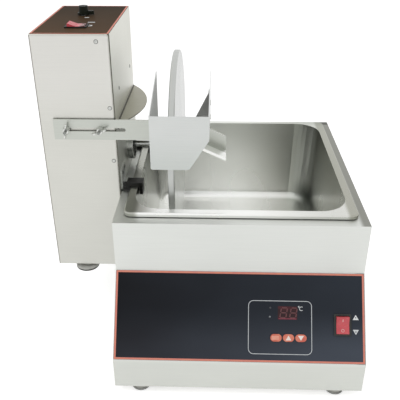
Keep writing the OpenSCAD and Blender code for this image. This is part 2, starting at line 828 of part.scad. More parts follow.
module tower_base() {
    in_x = tower_x0 + sheet_t + touch_gap;
    in_y = tower_y0 + 2 * sheet_t + 2 * touch_gap;
    color(steel) difference() {
        translate([in_x, in_y, tower_z0])
            cube([tower_x1 - sheet_t - in_x, tower_d - 2 * (in_y - tower_y0), sheet_t]);
        for (y = tower_foot_ys)
            translate([tower_foot_x, y, tower_z0 - over])
                cylinder(r = foot_stem_r + screw_gap, h = sheet_t + 2 * over);
    }
}

module tower_overlay() {
    color(panel_brown) difference() {
        translate([tower_x0 + tower_w / 2, tower_y0 + tower_d / 2, tower_z1])
            slab(tower_w - 2 * overlay_in, tower_d - 2 * overlay_in, corner_r, film_t);
        translate([tower_switch_x, tower_switch_y, tower_z1 - over])
            rotate([0, 0, 90]) switch_hole(film_t + 2 * over);
        translate([knob_x, knob_y, tower_z1 - over]) cylinder(r = bush_r + screw_gap, h = film_t + 2 * over);
    }
}

// Pale hub on a stem, with a rubber ring round it
module tower_feet() {
    color(foot_grey) for (y = tower_foot_ys)
        translate([tower_foot_x, y, tower_z0 - tower_foot_drop - tower_foot_t]) {
            cylinder(r = tower_foot_in_r, h = 0.7 * tower_foot_t);
            cylinder(r = 1.4 * foot_stem_r, h = tower_foot_t + tower_foot_drop);
            cylinder(r = foot_stem_r, h = tower_foot_t + tower_foot_drop + 2 * sheet_t);
        }
}

module tower_foot_rings() {
    wide = tower_foot_r - tower_foot_in_r;
    color(black) for (y = tower_foot_ys)
        translate([tower_foot_x, y, tower_z0 - tower_foot_drop - tower_foot_t])
            rotate_extrude() translate([tower_foot_in_r + wide / 2, tower_foot_t / 2])
                rounded(wide, tower_foot_t, 0.3 * tower_foot_t);
}

module cover_screws() {
    color(bright_steel) for (p = front_screw_places)
        translate([p.x, tower_y0, p.y]) rotate([90, 0, 0])
            screw(front_head_r, front_head_h, front_screw_r, front_screw_l);
}

module side_screws() {
    color(bright_steel) for (p = side_screw_places)
        translate([tower_x1, p.x, p.y]) rotate([0, 90, 0])
            screw(front_head_r, front_head_h, front_screw_r, front_screw_l);
}

// Screws through the bearing flange, the side plate and the bracket into the gearbox
flange_screw_l = 12;

module flange_screws() {
    color(bright_steel) for (p = flange_screw_places())
        translate([tower_x1 + flange_floor, p.x, p.y]) rotate([0, 90, 0])
            screw(front_head_r, 2 * front_head_h, front_screw_r, flange_screw_l);
}

// Right-angle gearbox on the bracket, with the motor standing on it
bracket_t = 2;
gearbox_w = 40;
gearbox_s = 62;
gearbox_x1 = tower_x1 - sheet_t - bracket_t;
gearbox_r = 4;
motor_r = 28;
motor_cap_h = 8;
motor_top_gap = 54;  // motor's top below the tower's top
motor_h = tower_z1 - motor_top_gap - motor_cap_h - shaft_z - gearbox_s / 2;
bracket_end_gap = 30;
bracket_w = tower_d - 2 * bracket_end_gap;

bracket_over = 10;    // bracket's top above its screws

module gearbox() {
    color(cast_grey) difference() {
        union() {
            translate([gearbox_x1 - gearbox_w, shaft_y, shaft_z]) along_x(gearbox_w)
                rounded(gearbox_s, gearbox_s, gearbox_r);
            translate([gearbox_x1, shaft_y, shaft_z]) rod_x(flange_bore_r - 2 * touch_gap, bracket_t);
        }
        translate([gearbox_x1 - gearbox_w - over, shaft_y, shaft_z])
            rod_x(shaft_r + fit_gap, gearbox_w + bracket_t + 2 * over);
        for (p = flange_screw_places())
            translate([gearbox_x1, p.x, p.y]) screw_hole_x(flange_screw_l - flange_floor);
    }
}

module gear_motor() {
    color(motor_grey) translate([gearbox_x1 - motor_r - gearbox_r, shaft_y, shaft_z + gearbox_s / 2]) {
        cylinder(r = motor_r, h = motor_h);
        translate([0, 0, motor_h]) cylinder(r1 = motor_r * 0.85, r2 = motor_r * 0.7, h = motor_cap_h);
    }
}

module motor_bracket() {
    color(bright_steel) difference() {
        translate([gearbox_x1, shaft_y - bracket_w / 2, shaft_z - gearbox_s / 2])
            cube([bracket_t, bracket_w, side_screw_rise + bracket_over - shaft_rise + gearbox_s / 2]);
        translate([gearbox_x1 - over, shaft_y, shaft_z]) rod_x(flange_bore_r, bracket_t + 2 * over);
        for (p = concat(side_screw_places, hook_screw_places(), flange_screw_places()))
            translate([gearbox_x1 + bracket_t, p.x, p.y]) screw_hole_x(bracket_t);
    }
}

speed_board_w = 70;
speed_board_h = 90;
speed_board_out = 6;
speed_board_drop = 100;

module speed_board() {
    color(board_green) translate([tower_x0 + sheet_t, shaft_y, tower_z1 - speed_board_drop]) {
        translate([speed_board_out, -speed_board_w / 2, -speed_board_h / 2])
            cube([board_t, speed_board_w, speed_board_h]);
        for (y = [-1, 1], z = [-1, 1])
            translate([0, y * (speed_board_w / 2 - 2 * post_r), z * (speed_board_h / 2 - 2 * post_r)])
                rod_x(post_r, speed_board_out);
        translate([speed_board_out + board_t, -relay_w / 2, -relay_w]) cube([relay_h, relay_w, 2 * relay_w]);
    }
}

module potentiometer() {
    color(cast_grey) translate([knob_x, knob_y, tower_z1 - sheet_t]) {
        translate([0, 0, -pot_h]) cylinder(r = pot_r, h = pot_h);
        cylinder(r = bush_r, h = sheet_t + film_t + bush_out);
        cylinder(r = pot_shaft_r, h = sheet_t + film_t + bush_out + knob_bore_l);
    }
}

module tower_switch_housing() {
    color(black) translate([tower_switch_x, tower_switch_y, tower_z1]) rotate([0, 0, 90]) switch_housing();
}

module tower_rocker() {
    color(rocker_red) translate([tower_switch_x, tower_switch_y, tower_z1]) rotate([0, 0, 90]) rocker();
}

// Grip with a pointer bar to the right, on the potentiometer's shaft
module speed_knob() {
    base = tower_z1 + film_t + bush_out + touch_gap;
    color(black) translate([knob_x, knob_y, base]) difference() {
        union() {
            cylinder(r = knob_skirt_r, h = knob_skirt_h);
            cylinder(r1 = knob_d / 2, r2 = 0.46 * knob_d, h = knob_h);
            translate([0, -pointer_w / 2, 0]) cube([pointer_l, pointer_w, pointer_h]);
        }
        translate([0, 0, -over]) cylinder(r = pot_shaft_r + fit_gap, h = knob_bore_l + over);
    }
}

// Half-moon plate above the shaft with a flange along the tower
shield_t = 1.2;
shield_out = 32;
shield_rise = 105;
shield_z = deck_z + shield_rise;
shield_end_gap = 5;  // shield's ends from the tower's edges, before its shift to the back
shield_shift = 3;
shield_half = tower_d / 2 - shield_end_gap;
shield_mid_y = tower_y0 + tower_d / 2 + shield_shift;
shield_r = (shield_half * shield_half + shield_out * shield_out) / (2 * shield_out);
shield_lip = 10;

module splash_shield() {
    color(shield_steel) {
        translate([tower_x1, 0, shield_z]) linear_extrude(shield_t) intersection() {
            translate([shield_out - shield_r, shield_mid_y]) circle(shield_r, $fn = 128);
            translate([0, tower_y0]) square([shield_out + over, tower_d]);
        }
        translate([tower_x1, shield_mid_y - shield_half * 0.9, shield_z - shield_lip])
            cube([shield_t, shield_half * 1.8, shield_lip]);
    }
}

// Hook outline in X and Z, from the tower's side over the rim into the pan
module hook_outline(half, lip_z) {
    start = tower_x1 + hook_t / 2;
    translate([start - half, hook_z0 - half]) square([hook_x1 - start + 2 * half, 2 * half]);
    translate([hook_x1 - half, hook_z0 - half]) square([2 * half, hook_z1 - hook_z0 + 2 * half]);
    translate([hook_x1 - half, hook_z1 - half]) square([hook_x2 - hook_x1 + 2 * half, 2 * half]);
    translate([hook_x2 - half, lip_z]) square([2 * half, hook_z1 + half - lip_z]);
}

function hook_screw_places() = [
    for (y = hook_ys, s = [-1, 1])
        [y + hook_plate_shift + s * (hook_plate_w / 2 - hook_screw_in), deck_z + hook_plate_h - hook_screw_in]
];

module hook_brackets() {
    color(bright_steel) for (y = hook_ys) {
        translate([0, y - hook_w / 2 + cover_t, 0]) along_y(hook_w - 2 * cover_t)
            hook_outline(hook_t / 2, pan_top_z - hook_lip + cover_t);
        difference() {
            translate([tower_x1, y + hook_plate_shift - hook_plate_w / 2, hook_z0 - hook_t / 2])
                cube([hook_t, hook_plate_w, deck_z + hook_plate_h - hook_z0]);
            for (p = hook_screw_places())
                translate([tower_x1 + hook_t, p.x, p.y]) screw_hole_x(hook_t);
        }
    }
}

module hook_covers() {
    color(black) for (y = hook_ys) difference() {
        translate([0, y - hook_w / 2, 0]) along_y(hook_w) hook_outline(hook_half, pan_top_z - hook_lip);
        translate([0, y - hook_w / 2 + cover_t, 0]) along_y(hook_w - 2 * cover_t)
            hook_outline(hook_t / 2, pan_top_z - hook_lip + cover_t);
        translate([tower_x1 - hook_half, y - hook_w, hook_z0 - 2 * hook_half])
            cube([hook_half + hook_t, 2 * hook_w, 4 * hook_half]);
    }
}

module hook_screws() {
    color(bright_steel) for (p = hook_screw_places())
        translate([tower_x1 + hook_t, p.x, p.y]) rotate([0, 90, 0])
            screw(front_head_r, 2 * front_head_h, front_screw_r, hook_t + front_screw_l);
}

// Cup-shaped bearing flange round the shaft
function flange_screw_places() = [
    for (a = flange_screw_angles) [shaft_y + flange_screw_ring * cos(a), shaft_z + flange_screw_ring * sin(a)]
];

module shaft_flange() {
    color(bright_steel) translate([tower_x1, shaft_y, shaft_z]) rotate([0, 90, 0]) difference() {
        cylinder(r = flange_r, h = flange_t);
        translate([0, 0, flange_floor]) cylinder(r = flange_r - flange_wall, h = flange_t);
        translate([0, 0, -over]) cylinder(r = shaft_r + fit_gap, h = flange_t);
        for (a = flange_screw_angles)
            rotate([0, 0, a]) translate([flange_screw_ring, 0, -over])
                cylinder(r = front_screw_r + screw_gap, h = flange_t);
    }
}

// Threaded studs with a head behind the front and a collar that keeps the arm off it
module arm_studs() {
    color(bright_steel) for (x = stud_xs) translate([x, tower_y0, arm_z]) {
        translate([0, sheet_t + stud_head_h, 0]) rod_front(stud_head_r, stud_head_h);
        translate([0, sheet_t, 0]) rod_front(stud_r, sheet_t + arm_gap + arm_t + stud_out);
        rod_front(stud_collar_r, arm_gap - touch_gap);
    }
}

module tower_power_inlet() {
    color(black) translate([tower_x0 + tower_w / 2, tower_y1, tower_inlet_z]) inlet();
}

// Hollow wheel: two thin discs joined by a rim band
module wheel_disc() {
    color(bright_steel) translate([wheel_x, shaft_y, shaft_z]) rotate([0, 90, 0])
        rotate_extrude($fn = 180) polygon([
            [hub_r, 0], [wheel_r - wheel_edge, 0], [wheel_r, wheel_edge], [wheel_r, wheel_t - wheel_edge],
            [wheel_r - wheel_edge, wheel_t], [hub_r, wheel_t], [hub_r, wheel_t - wheel_wall],
            [wheel_r - wheel_wall, wheel_t - wheel_wall], [wheel_r - wheel_wall, wheel_wall],
            [hub_r, wheel_wall]
        ]);
}

// Hub that fills the discs' bores, with a flange on each face
module wheel_hub() {
    color(bright_steel) translate([wheel_x, shaft_y, shaft_z]) rotate([0, 90, 0]) difference() {
        union() {
            cylinder(r = hub_r, h = wheel_t);
            translate([0, 0, wheel_t]) cylinder(r = hub_flange_r, h = hub_flange_t);
            translate([0, 0, -hub_flange_t]) cylinder(r = hub_flange_r, h = hub_flange_t);
            translate([0, 0, -hub_out]) cylinder(r = hub_r * 0.7, h = hub_out);
        }
        translate([0, 0, -hub_out - over]) cylinder(r = shaft_r, h = wheel_t + 3 * hub_out);
    }
}

module drive_shaft() {
    straight = wheel_x + wheel_t + hub_flange_t + nut_h + shaft_out - shaft_tip - gearbox_x1 + shaft_in;
    color(bright_steel) translate([gearbox_x1 - shaft_in, shaft_y, shaft_z]) {
        rod_x(shaft_r, straight);
        translate([straight, 0, 0]) rotate([0, 90, 0])
            cylinder(r1 = shaft_r, r2 = shaft_r - shaft_tip, h = shaft_tip);
    }
}

module wheel_nut() {
    color(bright_steel) translate([wheel_x + wheel_t + hub_flange_t, shaft_y, shaft_z]) rotate([0, 90, 0])
        difference() {
            cylinder(d = nut_af / cos(30), h = nut_h, $fn = 6);
            translate([0, 0, -over]) cylinder(r = shaft_r, h = nut_h + 2 * over);
        }
}

// Slotted bar on the studs, with a tab bent back along the guard's left plate
rivet_r = 2;
rivet_head_h = 1;
rivet_y = arm_y0 + tab_l * 0.6;
rivet_zs = [arm_z - arm_h * 0.28, arm_z + arm_h * 0.28];

module arm_plate() {
    color(steel) difference() {
        union() {
            translate([arm_x0, arm_y0, arm_z - arm_h / 2]) cube([guard_x - arm_x0, arm_t, arm_h]);
            translate([guard_x - arm_t, arm_y0, arm_z - arm_h / 2]) cube([arm_t, tab_l, arm_h]);
        }
        translate([0, arm_y0 - over, arm_z]) along_y(arm_t + 2 * over)
            translate([(slot_x0 + slot_x1) / 2, 0]) stadium(slot_x1 - slot_x0, slot_h);
        for (z = rivet_zs)
            translate([guard_x - arm_t - over, rivet_y, z]) rod_x(rivet_r + screw_gap, arm_t + 2 * over);
    }
}

// Guard folded from one sheet: a front plate with a cut-off corner and two side plates
module guard() {
    r = guard_corner_r;
    color(steel) difference() {
        union() {
            translate([0, guard_y, 0]) along_y(guard_t) {
                polygon([
                    [guard_x, guard_z0 + r], [guard_x + r, guard_z0], [guard_x1 - chamfer_w - r, guard_z0],
                    [guard_x1 - chamfer_w, guard_z0 + r * 0.5], [guard_x1, guard_z0 + chamfer_h],
                    [guard_x1, guard_z1], [guard_x, guard_z1]
                ]);
                translate([guard_x + r, guard_z0 + r]) circle(r);
            }
            translate([guard_x, 0, 0]) along_x(guard_t) polygon([
                [guard_y, guard_z0 + r], [guard_y1, guard_z0 + chamfer_h * 0.5],
                [guard_y1, guard_z1 + guard_peak], [guard_y, guard_z1]
            ]);
            translate([guard_x1 - guard_t, 0, 0]) along_x(guard_t) polygon([
                [guard_y, guard_z0 + chamfer_h], [guard_y1, guard_z0 + chamfer_h],
                [guard_y1, guard_z1 + guard_peak], [guard_y, guard_z1]
            ]);
        }
        for (z = rivet_zs)
            translate([guard_x - over, rivet_y, z]) rod_x(rivet_r + screw_gap, guard_t + 2 * over);
        for (z = scraper_rivet_zs)
            translate([guard_x1 - guard_t - over, scraper_rivet_y, z])
                rod_x(rivet_r + screw_gap, guard_t + 2 * over);
    }
}

// Upright plate with a slanting top that stands behind the chute and faces the wheel
scraper_tab = 9;
scraper_y0 = chute_y1 + chute_t;
scraper_x1 = guard_x1 - guard_t;
scraper_rivet_y = scraper_y0 + scraper_tab * 0.6;
scraper_rivet_zs = [guard_z0 + chamfer_h + scraper_tab, scraper_peak - 2 * scraper_tab];

module scraper_plate() {
    color(steel) difference() {
        union() {
            translate([0, scraper_y0, 0]) along_y(chute_t) polygon([
                [chute_x0, floor_z(chute_x0)], [scraper_x1, floor_z(scraper_x1)],
                [scraper_x1, scraper_peak], [chute_x0, floor_z(chute_x0) + scraper_edge_h]
            ]);
            translate([scraper_x1 - chute_t, scraper_y0, guard_z0 + chamfer_h])
                cube([chute_t, scraper_tab, scraper_peak - guard_z0 - chamfer_h]);
        }
        for (z = scraper_rivet_zs)
            translate([scraper_x1 - chute_t - over, scraper_rivet_y, z])
                rod_x(rivet_r + screw_gap, chute_t + 2 * over);
    }
}

// Sloping channel that leads the chocolate out to the right
module chute() {
    rise = chute_t / cos(chute_slope);
    hem = hem_w / cos(chute_slope);
    wall_x0 = guard_x1 + touch_gap;    // the back wall is full height from the guard outwards
    color(steel) {
        translate([0, chute_y0, 0]) along_y(chute_w) polygon([
            [chute_x0, floor_z(chute_x0)], [chute_x1, floor_z(chute_x1)],
            [chute_x1, floor_z(chute_x1) - rise], [chute_x0, floor_z(chute_x0) - rise]
        ]);
        translate([0, chute_y1, 0]) along_y(chute_t) polygon([
            [chute_x0, floor_z(chute_x0) - rise], [chute_x1, floor_z(chute_x1) - rise],
            [chute_x1, floor_z(chute_x1) + chute_wall], [wall_x0, floor_z(wall_x0) + chute_wall],
            [chute_x0, floor_z(chute_x0) + scraper_edge_h * 0.5]
        ]);
        // folded hem along the top of the back wall
        translate([0, chute_y1 + chute_t, 0]) along_y(hem_w / 2) polygon([
            [wall_x0, floor_z(wall_x0) + chute_wall], [chute_x1, floor_z(chute_x1) + chute_wall],
            [chute_x1, floor_z(chute_x1) + chute_wall - hem], [wall_x0, floor_z(wall_x0) + chute_wall - hem]
        ]);
        // lip turned down along the front edge
        translate([0, chute_y0, 0]) along_y(chute_t) polygon([
            [chute_x0, floor_z(chute_x0) - rise], [chute_x1, floor_z(chute_x1) - rise],
            [chute_x1, floor_z(chute_x1) - rise - chute_lip], [chute_x0, floor_z(chute_x0) - rise - chute_lip]
        ]);
    }
}

module rivet(grip) {
    rod_x(rivet_r, grip);
    translate([-rivet_head_h, 0, 0]) rod_x(1.8 * rivet_r, rivet_head_h);
    translate([grip, 0, 0]) rod_x(1.8 * rivet_r, rivet_head_h);
}

module guard_rivets() {
    color(bright_steel) {
        for (z = rivet_zs)
            translate([guard_x - arm_t, rivet_y, z]) rivet(arm_t + guard_t);
        for (z = scraper_rivet_zs)
            translate([scraper_x1 - chute_t, scraper_rivet_y, z]) rivet(chute_t + guard_t);
    }
}

// Wing nut on a stud, with its wings turned by an angle
wing_hub_r = 5;
wing_hub_h = 7;
wing_l = 11;
wing_t = 2;
wing_end_r = 4;
wing_turns = [80, 20];

module wing_nut(x, turn) {
    color(bright_steel) translate([x, arm_y0 - touch_gap, arm_z]) rotate([90, 0, 0]) rotate([0, 0, turn])
        difference() {
            union() {
                cylinder(r1 = wing_hub_r, r2 = wing_hub_r * 0.8, h = wing_hub_h);
                for (s = [-1, 1])
                    translate([s * (wing_l - wing_end_r), wing_t / 2, wing_hub_h]) rotate([90, 0, 0]) {
                        cylinder(r = wing_end_r, h = wing_t);
                        translate([s > 0 ? -wing_end_r : 0, -wing_end_r, 0])
                            cube([wing_end_r, wing_end_r * 1.6, wing_t]);
                    }
            }
            translate([0, 0, -over]) cylinder(r = stud_r + fit_gap, h = 3 * wing_hub_h);
        }
}

module left_wing_nut() { wing_nut(stud_xs[0], wing_turns[0]); }
module right_wing_nut() { wing_nut(stud_xs[1], wing_turns[1]); }

// Moves a piece from the body's corner to the part's origin
module placed() {
    translate([-origin_x, -origin_y, 0]) children();
}

placed() body_casing();
placed() base_cover();
placed() base_screws();
placed() inner_tank();
placed() heating_element();
placed() temperature_probe();
placed() control_board();
placed() display_module();
placed() display_window();
placed() console_overlay();
placed() console_switch_housing();
placed() body_feet();
placed() foot_pads();
placed() body_power_inlet();
placed() food_pan();
placed() tower_casing();
placed() tower_cover();
placed() tower_base();
placed() tower_overlay();
placed() tower_feet();
placed() tower_foot_rings();
placed() cover_screws();
placed() side_screws();
placed() flange_screws();
placed() gear_motor();
placed() gearbox();
placed() motor_bracket();
placed() speed_board();
placed() potentiometer();
placed() tower_switch_housing();
placed() splash_shield();
placed() hook_brackets();
placed() hook_covers();
placed() hook_screws();
placed() shaft_flange();
placed() arm_studs();
placed() tower_power_inlet();
placed() wheel_disc();
placed() wheel_hub();
placed() drive_shaft();
placed() wheel_nut();
placed() arm_plate();
placed() guard();
placed() scraper_plate();
placed() chute();
placed() guard_rivets();
placed() left_wing_nut();
placed() right_wing_nut();
placed() speed_knob();
placed() tower_rocker();
placed() console_rocker();
placed() set_button();
placed() up_button();
placed() down_button();
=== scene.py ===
"""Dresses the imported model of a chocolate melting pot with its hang-on wheel unit.

Places are given in the machine's own millimetres: X from the housing's left side, Y back from
the deck's front edge and Z up from the worktop. One function turns them into the scene's metres.
"""
import json
import logging
import math
from dataclasses import dataclass, field
from enum import Enum
from typing import Any, Iterable

import bmesh
import bpy
from mathutils import Matrix, Vector

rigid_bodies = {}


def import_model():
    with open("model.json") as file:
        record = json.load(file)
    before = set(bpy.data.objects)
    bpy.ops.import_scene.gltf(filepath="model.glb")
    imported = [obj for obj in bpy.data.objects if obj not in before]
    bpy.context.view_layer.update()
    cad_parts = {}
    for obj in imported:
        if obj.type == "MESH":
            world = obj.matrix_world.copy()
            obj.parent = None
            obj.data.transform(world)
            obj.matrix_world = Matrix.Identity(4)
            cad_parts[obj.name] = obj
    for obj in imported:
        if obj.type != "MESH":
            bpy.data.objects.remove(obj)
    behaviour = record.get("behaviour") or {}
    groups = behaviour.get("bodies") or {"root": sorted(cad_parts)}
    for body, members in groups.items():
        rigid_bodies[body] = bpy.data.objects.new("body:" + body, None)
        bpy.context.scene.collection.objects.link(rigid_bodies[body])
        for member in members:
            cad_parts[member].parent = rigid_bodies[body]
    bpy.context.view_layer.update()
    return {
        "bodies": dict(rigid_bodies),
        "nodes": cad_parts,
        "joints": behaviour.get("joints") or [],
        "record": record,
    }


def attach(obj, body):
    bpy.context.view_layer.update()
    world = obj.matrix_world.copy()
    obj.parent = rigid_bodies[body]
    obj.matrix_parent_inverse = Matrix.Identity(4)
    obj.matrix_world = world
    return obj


MM = 0.001
Point2 = tuple[float, float]
Point3 = tuple[float, float, float]
Box = tuple[float, float, float, float]
Loop = list[Point2]
Colour = tuple[float, float, float, float]
Frame = dict[str, Any]
Node = bpy.types.Node
Socket = bpy.types.NodeSocket

# The machine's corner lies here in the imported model's frame, in millimetres
CORNER = Vector((121.75, 157.75, 0.0))


def spot(x: float, y: float, z: float) -> Vector:
    """Turn a place on the machine into the scene's metres.

    Args:
        x: Millimetres to the right of the housing's left side.
        y: Millimetres behind the deck's front edge.
        z: Millimetres above the worktop.

    Returns:
        The place in metres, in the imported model's frame.
    """
    return (Vector((x, y, z)) - CORNER) * MM


def linear(code: str) -> Colour:
    """Turn an sRGB hex colour into linear values.

    Args:
        code: A colour such as "#D8D7D0".

    Returns:
        Linear red, green and blue, and full opacity.
    """
    parts = [int(code[i:i + 2], 16) / 255 for i in (1, 3, 5)]
    red, green, blue = [c / 12.92 if c <= 0.04045 else ((c + 0.055) / 1.055) ** 2.4 for c in parts]
    return (red, green, blue, 1.0)


class Axis(Enum):
    """A direction of the machine."""

    X = 0
    Y = 1
    Z = 2


@dataclass(frozen=True)
class PaintedLight:
    """Painted light and shade: a colour that grows slowly along one axis of the machine.

    It may be kept to a band, which is another axis with the places where the painted light starts and is
    full.
    """

    axis: Axis
    start_mm: float
    end_mm: float
    colour: str
    band: tuple[Axis, float, float] | None = None


class Bar(Enum):
    """One bar of a seven-bar digit, as its two ends in shares of the digit's width and height."""

    TOP = ((0.0, 0.0), (1.0, 0.0))
    UPPER_LEFT = ((0.0, 0.0), (0.0, 0.5))
    UPPER_RIGHT = ((1.0, 0.0), (1.0, 0.5))
    MIDDLE = ((0.0, 0.5), (1.0, 0.5))
    LOWER_LEFT = ((0.0, 0.5), (0.0, 1.0))
    LOWER_RIGHT = ((1.0, 0.5), (1.0, 1.0))
    BOTTOM = ((0.0, 1.0), (1.0, 1.0))


class Nodes:
    """The node tree of one material or of the room."""

    def __init__(self, owner: bpy.types.Material | bpy.types.World) -> None:
        """Empty the owner's tree.

        Args:
            owner: The material or the world.
        """
        owner.use_nodes = True
        self.tree = owner.node_tree
        self.tree.nodes.clear()

    def plug(self, node: Node, inputs: dict[Any, Any]) -> None:
        """Give a node's inputs their links and plain values.

        Args:
            node: The node.
            inputs: Values or output sockets, by the input's name or number.
        """
        for key, value in inputs.items():
            if isinstance(key, str):
                socket = next(s for s in node.inputs if s.name == key and s.enabled)
            else:
                socket = node.inputs[key]
            if isinstance(value, Socket):
                self.tree.links.new(value, socket)
            else:
                socket.default_value = value

    def add(self, kind: str, inputs: dict[Any, Any] | None = None, **settings: Any) -> Node:
        """Add one shader node with its settings and links.

        Args:
            kind: The node's type.
            inputs: Values or output sockets, by the input's name or number.
            settings: The node's own settings.

        Returns:
            The new node.
        """
        node = self.tree.nodes.new(kind)
        for name, value in settings.items():
            setattr(node, name, value)
        self.plug(node, inputs or {})
        return node


class Surface(Nodes):
    """The nodes of one finish, from its patterns to its Principled shader."""

    def __init__(self, material: bpy.types.Material) -> None:
        """Start the material with a bare shader.

        Args:
            material: The material.
        """
        super().__init__(material)
        self.shader = self.add("ShaderNodeBsdfPrincipled")
        self.add("ShaderNodeOutputMaterial", {"Surface": self.shader.outputs["BSDF"]})

    def coat(self, colour: Socket, rough: Socket | float, others: dict[str, Any] | None = None) -> None:
        """Give the shader its colour and roughness, and what else the finish needs.

        Args:
            colour: The surface's colour.
            rough: Its roughness.
            others: Links or plain values for more of the shader's inputs, by name.
        """
        self.plug(self.shader, {"Base Color": colour, "Roughness": rough, **(others or {})})

    def grain(self, *spacing: float, detail: float = 3.0) -> Socket:
        """Noise whose cells have a size of their own along each axis.

        Args:
            spacing: The cells' size in millimetres, given once or along X, Y and Z.
            detail: How many finer layers the noise has.

        Returns:
            The noise's factor.
        """
        sizes = spacing if len(spacing) == 3 else spacing * 3
        place = self.add("ShaderNodeTexCoord")
        scaled = self.add("ShaderNodeVectorMath", {0: place.outputs["Object"],
                                                   1: [1 / (size * MM) for size in sizes]},
                          operation="MULTIPLY")
        noise = self.add("ShaderNodeTexNoise", {"Vector": scaled.outputs[0], "Scale": 1.0,
                                                "Detail": detail, "Roughness": 0.55})
        return noise.outputs["Fac"]

    def between(self, factor: Socket, low: str, high: str, start: float = 0.3, end: float = 0.7) -> Socket:
        """Blend two colours by a factor.

        Args:
            factor: The socket that blends them.
            low: The hex colour at start.
            high: The hex colour at end.
            start: The factor at which the first colour ends.
            end: The factor at which the second colour is full.

        Returns:
            The blended colour.
        """
        ramp = self.add("ShaderNodeValToRGB", {"Fac": factor})
        first, last = ramp.color_ramp.elements
        first.position, first.color = start, linear(low)
        last.position, last.color = end, linear(high)
        return ramp.outputs["Color"]

    def span(self, factor: Socket, low: float, high: float, start: float = 0.3, end: float = 0.7) -> Socket:
        """Turn a factor into a value of a range.

        Args:
            factor: The socket that sets the value.
            low: The value at start.
            high: The value at end.
            start: The factor at which the value starts to change.
            end: The factor at which it stops.

        Returns:
            The value.
        """
        ranged = self.add("ShaderNodeMapRange", {"Value": factor, "From Min": start, "From Max": end,
                                                 "To Min": low, "To Max": high})
        return ranged.outputs["Result"]

    def reach(self, axis: Axis, start_mm: float, end_mm: float, even: bool = False) -> Socket:
        """A factor that grows from 0 to 1 along one axis of the machine.

        Args:
            axis: The direction along which it grows.
            start_mm: Where it is 0.
            end_mm: Where it is 1.
            even: Whether it grows evenly, and not slower at both ends.

        Returns:
            The factor.
        """
        place = self.add("ShaderNodeTexCoord")
        parts = self.add("ShaderNodeSeparateXYZ", {0: place.outputs["Object"]})
        low, high = sorted((start_mm, end_mm))
        corner = CORNER[axis.value]
        grown = self.add("ShaderNodeMapRange", {"Value": parts.outputs[axis.value],
                                                "From Min": (low - corner) * MM,
                                                "From Max": (high - corner) * MM,
                                                "To Min": float(start_mm > end_mm),
                                                "To Max": float(start_mm < end_mm)},
                         interpolation_type="LINEAR" if even else "SMOOTHSTEP")
        return grown.outputs["Result"]

    def shade(self, colour: Socket, painted_light: Iterable[PaintedLight], where: Socket | None = None) -> Socket:
        """Paint light and shade into a colour slowly by place.

        Args:
            colour: The colour to paint light and shade into.
            painted_light: The painted light and shade to multiply it with.
            where: A factor that limits the painted light to some faces.

        Returns:
            The colour with the painted light and shade.
        """
        for painted in painted_light:
            amount = self.reach(painted.axis, painted.start_mm, painted.end_mm)
            limits = [where] if where is not None else []
            if painted.band is not None:
                limits.append(self.reach(*painted.band))
            for limit in limits:
                amount = self.add("ShaderNodeMath", {0: amount, 1: limit}, operation="MULTIPLY").outputs[0]
            mixed = self.add("ShaderNodeMix", {"Factor": amount, "A": colour, "B": linear(painted.colour)},
                             data_type="RGBA", blend_type="MULTIPLY")
            colour = next(s for s in mixed.outputs if s.enabled)
        return colour

    def relief(self, height: Socket, strength: float, depth_mm: float) -> None:
        """Raise the surface by a factor.

        Args:
            height: The socket that sets the height.
            strength: How much the relief shows.
            depth_mm: Its height in millimetres.
        """
        bump = self.add("ShaderNodeBump", {"Height": height, "Strength": strength, "Distance": depth_mm * MM})
        self.plug(self.shader, {"Normal": bump.outputs["Normal"]})


@dataclass(frozen=True)
class Finish:
    """A material and how its surface was made."""

    name: str
    colour: str

    def make(self) -> bpy.types.Material:
        """Build the finish as a Blender material.

        Returns:
            The material.
        """
        material = bpy.data.materials.new(self.name)
        material.diffuse_color = linear(self.colour)
        self.dress(Surface(material))
        return material

    def dress(self, surface: Surface) -> None:
        """Give the surface this finish's colour, gloss and relief.

        Args:
            surface: The material's nodes.
        """
        raise NotImplementedError


